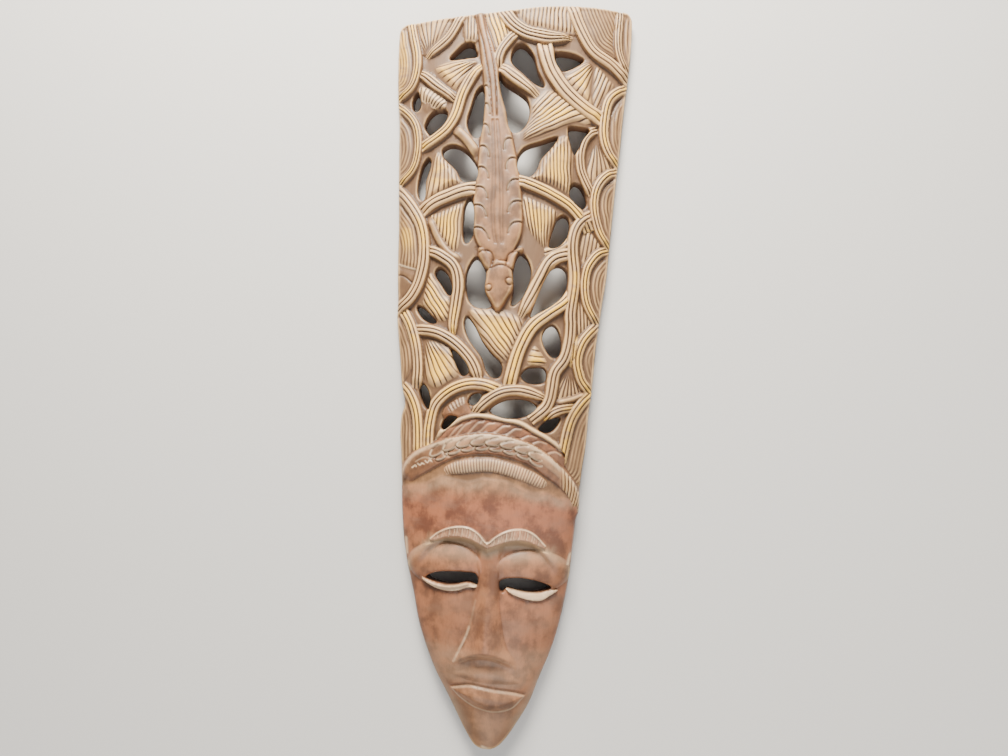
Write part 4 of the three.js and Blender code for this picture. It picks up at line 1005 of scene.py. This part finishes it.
def carve_face(carving, part):
    """Lays the face over the points of one part, in place of anything carved there."""
    face = Carving(carving.x[part], carving.y[part])
    face.height = face_height(face.x, face.y)
    stain_face(face)
    for brow in BROWS:
        carve_brow(face, brow)
    for ledge in LEDGES:
        carve_ledge(face, ledge)
    for line, depth, reach, cream, dirt_and_shade in FACE_LINES:
        face.score(smooth_path(line, 2.0), depth, reach, cream, dirt_and_shade)
    for name in ("height", "phase", "pitch", "cut", "gold", "cream", "red", "dirt_and_shade"):
        getattr(carving, name)[part] = getattr(face, name)


# The whole mask. The carving is laid out over a fine square grid, its nodes along each
# cut edge are moved onto the edge, walls join front and back, and the mesh is thinned.
CREST_EDGE_DROP = 1.0
FACE_EDGE_DROP = 3.0
EDGE_REACH = 16.0
EDGE_ROUND = 3.0
WALL_ROWS = 3
TRIANGLES = 188000
TOOL_MARK = 0.22
TOOL_MARK_PITCH = (9, 13)
BACK_MARK = 0.5
BACK_MARK_PITCH = (26, 44)
RIM_LEVEL = -1.4
RIM_SHARE = 0.75
RIM_REACH = 7
LINE_WIDTH = 0.85
EDGE_WEAR_CREST = 0.5
EDGE_WEAR_REACH = 1.8
EDGE_WEAR_PITCH = (25, 25, 3)
# Painted shade: the crest darker along its sides, short of the top end.
SIDE_SHADE = 0.3
SIDE_SHADE_REACH = 18
SIDE_SHADE_TOP = 855
# Patches of painted shade, where the crest lies away from the light: the middle, the reach across
# and along the board, the share.
PAINTED_SHADE_PATCHES = ((98, 350, 30, 110, 0.42), (-140, 735, 26, 62, 0.4))
# Painted reflection: the jaw paler near its edge, as if lit from below.
JAW_PAINTED_REFLECTION = 0.2
JAW_REACH = 16
JAW_TOP = 115
HOLLOW_REACH = 2
RELIEF_SPAN = 7
WALL_FADE = 4
SHARP_DEGREES = 62
CLEARANCE = 0.1


def carve(x, y, rim, wood):
    """Everything carved into the front at the points."""
    carving = Carving(x, y)
    carve_leaves(carving)
    carve_strands(carving)
    carve_lizard(carving)
    carve_crescent(carving)
    below = np.flatnonzero(y <= band_line(x))
    carve_face(carving, below)
    carve_band(carving)
    carve_fringe(carving)
    edge = 1 - np.clip(rim / EDGE_REACH, 0, 1)
    face = y <= band_line(x)
    level = RIM_SHARE * (1 - ease(rim / RIM_REACH)) * ~face
    carving.height += (RIM_LEVEL - carving.height) * level
    carving.height -= np.where(face, FACE_EDGE_DROP * edge**2, CREST_EDGE_DROP * edge**4)
    gap = carving.pitch * np.abs(np.mod(carving.phase + 0.5, 1) - 0.5)
    carving.relief = carving.height.copy()
    carving.height -= carving.cut * np.exp(-(gap / LINE_WIDTH)**2)
    carving.height += TOOL_MARK * hand_work(x, y, *TOOL_MARK_PITCH)
    patchy = ease(0.6 + hand_work(x, y, *EDGE_WEAR_PITCH))
    rubbed_edge = np.exp(-(rim / EDGE_WEAR_REACH)**2) * patchy * ~face
    carving.cream = np.maximum(carving.cream, EDGE_WEAR_CREST * rubbed_edge)
    # Painted shade along the crest's sides and in the patches, laid into the dirt values.
    beside = (1 - ease(rim / SIDE_SHADE_REACH)) * ease((SIDE_SHADE_TOP - y) / 25)
    shade = SIDE_SHADE * beside * ~face
    for middle_x, middle_y, wide, tall, share in PAINTED_SHADE_PATCHES:
        patch = np.exp(-((x - middle_x) / wide)**2 - ((y - middle_y) / tall)**2)
        shade = np.maximum(shade, share * patch)
    carving.dirt_and_shade = np.maximum(carving.dirt_and_shade, shade * (1 - 0.6 * rubbed_edge))
    # Painted reflection: paler near the edge of the jaw.
    jaw = (1 - ease(rim / JAW_REACH)) * ease((JAW_TOP - y) / 50) * ease((y - 5) / 25)
    carving.cream = np.maximum(carving.cream, JAW_PAINTED_REFLECTION * jaw)
    near_edge = np.clip(EDGE_ROUND - wood, 0, EDGE_ROUND)
    carving.height -= EDGE_ROUND - np.sqrt(EDGE_ROUND**2 - near_edge**2)
    return carving


def edge_distance(x, y):
    """Distance into the wood from the nearest cut edge, under 0 where there is no wood."""
    return wood_distance(x, y, rim_distance(x, y))


def flat_mesh():
    """Square cells over the wood. Cells that meet only at a corner are dropped."""
    low, high = outline.min(axis=0) - 1, outline.max(axis=0) + 2
    columns, rows = np.arange(low[0], high[0], CELL), np.arange(low[1], high[1], CELL)
    x, y = (v.ravel() for v in np.meshgrid(columns, rows))
    kept = (edge_distance(x, y) > -0.45 * CELL).reshape(len(rows), len(columns))
    cell = np.zeros((len(rows) + 1, len(columns) + 1), bool)
    cell[1:-1, 1:-1] = kept[:-1, :-1] & kept[1:, :-1] & kept[:-1, 1:] & kept[1:, 1:]
    for turn in range(3):
        a, b, c, d = cell[:-1, :-1], cell[:-1, 1:], cell[1:, :-1], cell[1:, 1:]
        touch = (a & d & ~b & ~c) | (b & c & ~a & ~d)
        for spot in (a, b, c, d):
            spot &= ~touch
    index = np.arange(len(x)).reshape(kept.shape)
    corners = np.stack([index[:-1, :-1], index[:-1, 1:], index[1:, 1:], index[1:, :-1]], -1)
    used, quads = np.unique(corners[cell[1:-1, 1:-1]], return_inverse=True)
    return x[used], y[used], quads.reshape(-1, 4)


def mask_mesh():
    """One mesh of front, hollow back and walls, and its number of triangles."""
    x, y, quads = flat_mesh()
    count = len(x)
    sides = np.stack([quads, np.roll(quads, -1, axis=1)], axis=-1).reshape(-1, 2)
    open_sides = sides[~np.isin(sides @ (count, 1), sides @ (1, count))]
    edge = np.unique(open_sides)
    for turn in range(2):
        ex, ey = x[edge], y[edge]
        here = edge_distance(ex, ey)
        slope_x = (edge_distance(ex + 0.2, ey) - here) / 0.2
        slope_y = (edge_distance(ex, ey + 0.2) - here) / 0.2
        push = here / np.maximum(0.5, slope_x**2 + slope_y**2)
        x[edge], y[edge] = ex - push * slope_x, ey - push * slope_y
    rim = rim_distance(x, y)
    wood = np.maximum(0, wood_distance(x, y, rim))
    front = front_surface(x, y) + carve(x, y, rim, wood).height
    front = np.minimum(front, 1000 * cad_box[1][2] - CLEARANCE)
    hollow = back_surface(x, y, rim)
    back = hollow + BACK_MARK * (hand_work(x, y, *BACK_MARK_PITCH) + 1) * ease(hollow / 3)
    place = np.full(count, -1)
    place[edge] = np.arange(len(edge))
    rows = []
    for step in range(1, WALL_ROWS + 1):
        share = step / (WALL_ROWS + 1)
        height = front[edge] * (1 - share) + back[edge] * share
        rows.append(np.stack([x[edge], y[edge], height], axis=1))
    points = np.concatenate([np.stack([x, y, front], 1), np.stack([x, y, back], 1), *rows])
    a, b = open_sides.T
    levels = [(a, b)]
    for step in range(WALL_ROWS):
        start = 2 * count + step * len(edge)
        levels.append((start + place[a], start + place[b]))
    levels.append((a + count, b + count))
    walls = [np.stack([upper[1], upper[0], lower[0], lower[1]], axis=1)
             for upper, lower in zip(levels, levels[1:])]
    faces = np.concatenate([quads, quads[:, ::-1] + count, *walls])
    mesh = bpy.data.meshes.new("mask_mesh")
    mesh.vertices.add(len(points))
    mesh.vertices.foreach_set("co", ((points - PLAN_MIDDLE) / 1000).ravel())
    mesh.loops.add(faces.size)
    mesh.loops.foreach_set("vertex_index", faces.ravel())
    mesh.polygons.add(len(faces))
    mesh.polygons.foreach_set("loop_start", np.arange(0, faces.size, 4))
    mesh.update(calc_edges=True)
    return mesh, 2 * len(faces)


def thinned(mesh, triangles):
    """The same surface in fewer triangles, closest where it curves most."""
    rough = bpy.data.objects.new("rough", mesh)
    bpy.context.scene.collection.objects.link(rough)
    rough.modifiers.new("thin", "DECIMATE").ratio = TRIANGLES / triangles
    graph = bpy.context.evaluated_depsgraph_get()
    result = bpy.data.meshes.new_from_object(rough.evaluated_get(graph))
    bpy.data.objects.remove(rough)
    bpy.data.meshes.remove(mesh)
    return result


def hollowness(x, y):
    """How far a point lies below the mean height around it: over 0 in cuts and at the foot
    of forms, under 0 on ridges and rims. Means are taken twice over small squares."""
    low, high = outline.min(axis=0) - 9, outline.max(axis=0) + 9
    columns, rows = np.arange(low[0], high[0], CELL), np.arange(low[1], high[1], CELL)
    gx, gy = (v.ravel() for v in np.meshgrid(columns, rows))
    rim = rim_distance(gx, gy)
    level = carve(gx, gy, rim, wood_distance(gx, gy, rim)).height
    level = level.reshape(len(rows), len(columns))
    mean = level
    for turn in range(2):
        for axis in (0, 1):
            shifts = [np.roll(mean, step, axis) for step in range(-HOLLOW_REACH, HOLLOW_REACH + 1)]
            mean = sum(shifts) / len(shifts)
    low_by = mean - level
    u, v = (x - columns[0]) / CELL, (y - rows[0]) / CELL
    column = np.clip(u.astype(int), 0, len(columns) - 2)
    row = np.clip(v.astype(int), 0, len(rows) - 2)
    s, t = u - column, v - row
    near_row = low_by[row, column] * (1 - s) + low_by[row, column + 1] * s
    next_row = low_by[row + 1, column] * (1 - s) + low_by[row + 1, column + 1] * s
    return near_row * (1 - t) + next_row * t


mask_shape = thinned(*mask_mesh())
mask_shape.name = "mask"
mask = bpy.data.objects.new("mask_carving", mask_shape)
bpy.context.scene.collection.objects.link(mask)
points = np.empty(len(mask_shape.vertices) * 3)
mask_shape.vertices.foreach_get("co", points)
px, py, pz = (points.reshape(-1, 3) * 1000 + PLAN_MIDDLE).T
rim = rim_distance(px, py)
carved = carve(px, py, rim, np.maximum(0, wood_distance(px, py, rim)))
under = front_surface(px, py) + carved.height - pz
# The dirt values also carry painted shade, and the cream values also carry painted highlights and
# reflections.
for name, values in (
    ("phase", carved.phase), ("pitch", carved.pitch), ("cut", np.minimum(1, carved.cut)),
    ("gold", carved.gold), ("cream", carved.cream), ("red", carved.red), ("dirt_and_shade", carved.dirt_and_shade),
    ("relief", (carved.relief - GROUND) / RELIEF_SPAN),
    ("under", np.clip(under / WALL_FADE, 0, 1)), ("hollow", hollowness(px, py)),
):
    layer = mask_shape.attributes.new(name, "FLOAT", "POINT")
    layer.data.foreach_set("value", values.astype(np.float32))
mask_shape.shade_smooth()
mask_shape.set_sharp_from_angle(angle=math.radians(SHARP_DEGREES))
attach(mask, "root")
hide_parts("mask")


# The finish. Brown stain all over, a redder polish on the face, gold rubbed on the ridge
# tops, wear to bare pale wood on the ledges and chips, and dirt left in the cuts. Painted
# shade darkens the low ground, the hollows, the sides, the walls and the back, and painted
# highlights and reflections lighten the face.
CREST_DARK = (0.130, 0.068, 0.031, 1)
CREST_LIGHT = (0.270, 0.143, 0.063, 1)
# Painted shade: the darker colour of the low ground between the forms.
CREST_LOW_SHADE = (0.150, 0.082, 0.042, 1)
FACE_DARK = (0.140, 0.051, 0.028, 1)
FACE_LIGHT = (0.340, 0.122, 0.058, 1)
FACE_STREAK = (0.240, 0.120, 0.076, 1)
RIDGE_WORN = (0.860, 0.540, 0.230, 1)
GOLD_RUB = (1.000, 0.560, 0.045, 1)
# Dark colour of dirt in the cuts, also used for painted shade.
DARK_DIRT_AND_SHADE = (0.040, 0.018, 0.010, 1)
# Bare pale wood where worn, also used for painted highlights and reflections.
BARE_WOOD_AND_SHEEN = (0.800, 0.590, 0.370, 1)
# Painted shade on the walls of the openings and the hollow back.
WALL_SHADE = (0.085, 0.042, 0.026, 1)
# Scale, stretch along the board, detail and roughness of each pattern.
GRAIN = {"Fibres": (900, 14, 3.0, 0.6), "Mottle": (48, 1.2, 6.0, 0.6),
         "Blotch": (22, 0.45, 5.0, 0.62)}
# Where each effect starts and where it is full, on the value that drives it.
LINE_FADE = (1.05, 0.45)
RIDGE_RISE = (0.9, 1.5)
HOLLOW_SHADE_RISE = (0.1, 1.5)
RUBBED_RISE = (-0.1, -1.0)
RED_GUARD = (0.35, 0.1)
CREST_MOTTLE = (0.36, 0.62)
FACE_MOTTLE = (0.38, 0.62)
STREAK_BLOTCH = (0.45, 0.7)
GOLD_BLOTCH = (0.36, 0.52)
PALE_BLOTCH = (0.35, 0.65)
# Shares of the painted shade in hollows, the streaks, the wear, the dirt with painted shade, and
# the painted shade on walls.
HOLLOW_SHADE_SHARE = 0.75
STREAK_SHARE = 0.5
WORN_SHARE = 0.68
DIRT_AND_SHADE_SHARE = 0.9
WALL_SHADE_SHARE = 0.9


def node(tree, kind, inputs=None, **settings):
    """A shader node with its settings and plain inputs set."""
    made = tree.nodes.new(kind)
    for name, value in settings.items():
        setattr(made, name, value)
    for name, value in (inputs or {}).items():
        socket = made.inputs[name]
        if isinstance(value, bpy.types.NodeSocket):
            tree.links.new(value, socket)
        else:
            socket.default_value = value
    return made


def value_of(tree, kind, a, b=0.0, c=0.0, clamp=False):
    """The result of one maths step."""
    step = node(tree, "ShaderNodeMath", {0: a, 1: b, 2: c}, operation=kind, use_clamp=clamp)
    return step.outputs[0]


def blend(tree, share, a, b, mode="MIX"):
    """One colour mixed into another by a share."""
    step = node(tree, "ShaderNodeMix", {0: share, 6: a, 7: b}, data_type="RGBA",
                blend_type=mode, clamp_factor=True)
    return step.outputs[2]


def ramp(tree, value, low, high):
    """0 at low, 1 at high, an S-curve between."""
    step = node(tree, "ShaderNodeMapRange", {0: value, 1: low, 2: high},
                interpolation_type="SMOOTHSTEP")
    return step.outputs[0]


def noise(tree, vector, scale, stretch, detail, rough):
    """Noise of a given scale, drawn out by stretch along the board."""
    long_way = node(tree, "ShaderNodeVectorMath", {0: vector, 1: (1, 1 / stretch, 1)},
                    operation="MULTIPLY").outputs[0]
    return node(tree, "ShaderNodeTexNoise", {"Vector": long_way, "Scale": scale,
                                             "Detail": detail, "Roughness": rough}).outputs[0]


def grain_group():
    """Fibres along the board, a fine mottle and broad blotches, each from 0 to 1."""
    tree = bpy.data.node_groups.new("board_grain", "ShaderNodeTree")
    tree.interface.new_socket("Vector", in_out="INPUT", socket_type="NodeSocketVector")
    for name in GRAIN:
        tree.interface.new_socket(name, in_out="OUTPUT", socket_type="NodeSocketFloat")
    start = tree.nodes.new("NodeGroupInput").outputs["Vector"]
    end = tree.nodes.new("NodeGroupOutput")
    for name, pattern in GRAIN.items():
        tree.links.new(noise(tree, start, *pattern), end.inputs[name])
    return tree


def stained_wood():
    """The one finish of the mask, led over its surface by the values carved into it."""
    material = bpy.data.materials.new("stained_wood")
    material.use_nodes = True
    tree = material.node_tree
    shader = tree.nodes["Principled BSDF"]
    place = tree.nodes.new("ShaderNodeTexCoord").outputs["Object"]
    grain = node(tree, "ShaderNodeGroup", node_tree=grain_group())
    tree.links.new(place, grain.inputs["Vector"])
    fibres, mottle, blotch = (grain.outputs[name] for name in GRAIN)
    field = {name: node(tree, "ShaderNodeAttribute", attribute_name=name).outputs["Fac"]
             for name in ("phase", "pitch", "cut", "gold", "cream", "red", "relief", "under",
                          "dirt_and_shade", "hollow")}

    to_line = value_of(tree, "PINGPONG", field["phase"], 0.5)
    gap = value_of(tree, "MULTIPLY", to_line, field["pitch"])
    engraved = value_of(tree, "MULTIPLY", ramp(tree, gap, *LINE_FADE), field["cut"])
    # Dirt in the cuts and in the dirt values, which also hold painted shade.
    dirt_and_shade_mix = value_of(tree, "MAXIMUM", engraved, field["dirt_and_shade"])
    # Painted shade in the hollows and at the foot of forms.
    hollow_shade = ramp(tree, field["hollow"], *HOLLOW_SHADE_RISE)
    hollow_shade = value_of(tree, "MULTIPLY", hollow_shade, HOLLOW_SHADE_SHARE)
    dirt_and_shade_mix = value_of(tree, "MAXIMUM", dirt_and_shade_mix, hollow_shade)
    rubbed = value_of(tree, "MULTIPLY", ramp(tree, field["hollow"], *RUBBED_RISE),
                      ramp(tree, field["red"], *RED_GUARD))
    ridge = value_of(tree, "MULTIPLY", ramp(tree, gap, *RIDGE_RISE), field["cut"])
    # Painted shade: the crest darker where the relief is lowest.
    high = ramp(tree, field["relief"], 0.0, 0.8)

    crest = blend(tree, ramp(tree, mottle, *CREST_MOTTLE), CREST_DARK, CREST_LIGHT)
    crest = blend(tree, high, CREST_LOW_SHADE, crest)
    face = blend(tree, ramp(tree, mottle, *FACE_MOTTLE), FACE_DARK, FACE_LIGHT)
    streak = value_of(tree, "MULTIPLY", ramp(tree, blotch, *STREAK_BLOTCH), STREAK_SHARE)
    face = blend(tree, streak, face, FACE_STREAK)
    wood = blend(tree, field["red"], crest, face)
    worn = value_of(tree, "MULTIPLY", value_of(tree, "MAXIMUM", ridge, rubbed), WORN_SHARE)
    wood = blend(tree, worn, wood, RIDGE_WORN)
    gilt = value_of(tree, "MULTIPLY", field["gold"], ramp(tree, blotch, *GOLD_BLOTCH))
    gilt = value_of(tree, "MULTIPLY", gilt, value_of(tree, "MULTIPLY_ADD", ridge, 0.75, 0.25))
    wood = blend(tree, gilt, wood, GOLD_RUB)
    wood = blend(tree, value_of(tree, "MULTIPLY", dirt_and_shade_mix, DIRT_AND_SHADE_SHARE), wood, DARK_DIRT_AND_SHADE)
    # Pale wear, and on the face painted highlights and reflections.
    pale = value_of(tree, "MULTIPLY", field["cream"],
                    value_of(tree, "MULTIPLY_ADD", ramp(tree, blotch, *PALE_BLOTCH), 0.3, 0.72))
    pale = value_of(tree, "MULTIPLY", pale, value_of(tree, "MULTIPLY_ADD", engraved, -0.85, 1))
    wood = blend(tree, pale, wood, BARE_WOOD_AND_SHEEN)
    # Painted shade: darker down the walls and over the back.
    wood = blend(tree, value_of(tree, "MULTIPLY", field["under"], WALL_SHADE_SHARE), wood, WALL_SHADE)
    fleck = value_of(tree, "MULTIPLY_ADD", fibres, 0.32, 0.84)
    wood = blend(tree, 1.0, wood, node(tree, "ShaderNodeCombineColor", {
        0: fleck, 1: fleck, 2: fleck}).outputs[0], "MULTIPLY")
    tree.links.new(wood, shader.inputs["Base Color"])

    rough = value_of(tree, "MULTIPLY_ADD", field["red"], -0.06, 0.5)
    rough = value_of(tree, "MULTIPLY_ADD", fibres, 0.16, value_of(tree, "ADD", rough, -0.08))
    tree.links.new(rough, shader.inputs["Roughness"])
    shader.inputs["Specular IOR Level"].default_value = 0.4
    shader.inputs["Coat Weight"].default_value = 0.05
    shader.inputs["Coat Roughness"].default_value = 0.35
    fine = value_of(tree, "MULTIPLY_ADD", fibres, 0.5, value_of(tree, "MULTIPLY", mottle, 0.5))
    fine = value_of(tree, "MULTIPLY_ADD", dirt_and_shade_mix, -0.7, fine)
    bump = node(tree, "ShaderNodeBump", {"Height": fine, "Strength": 0.35,
                                         "Distance": 0.0006})
    tree.links.new(bump.outputs[0], shader.inputs["Normal"])
    return material


mask_shape.materials.clear()
mask_shape.materials.append(stained_wood())
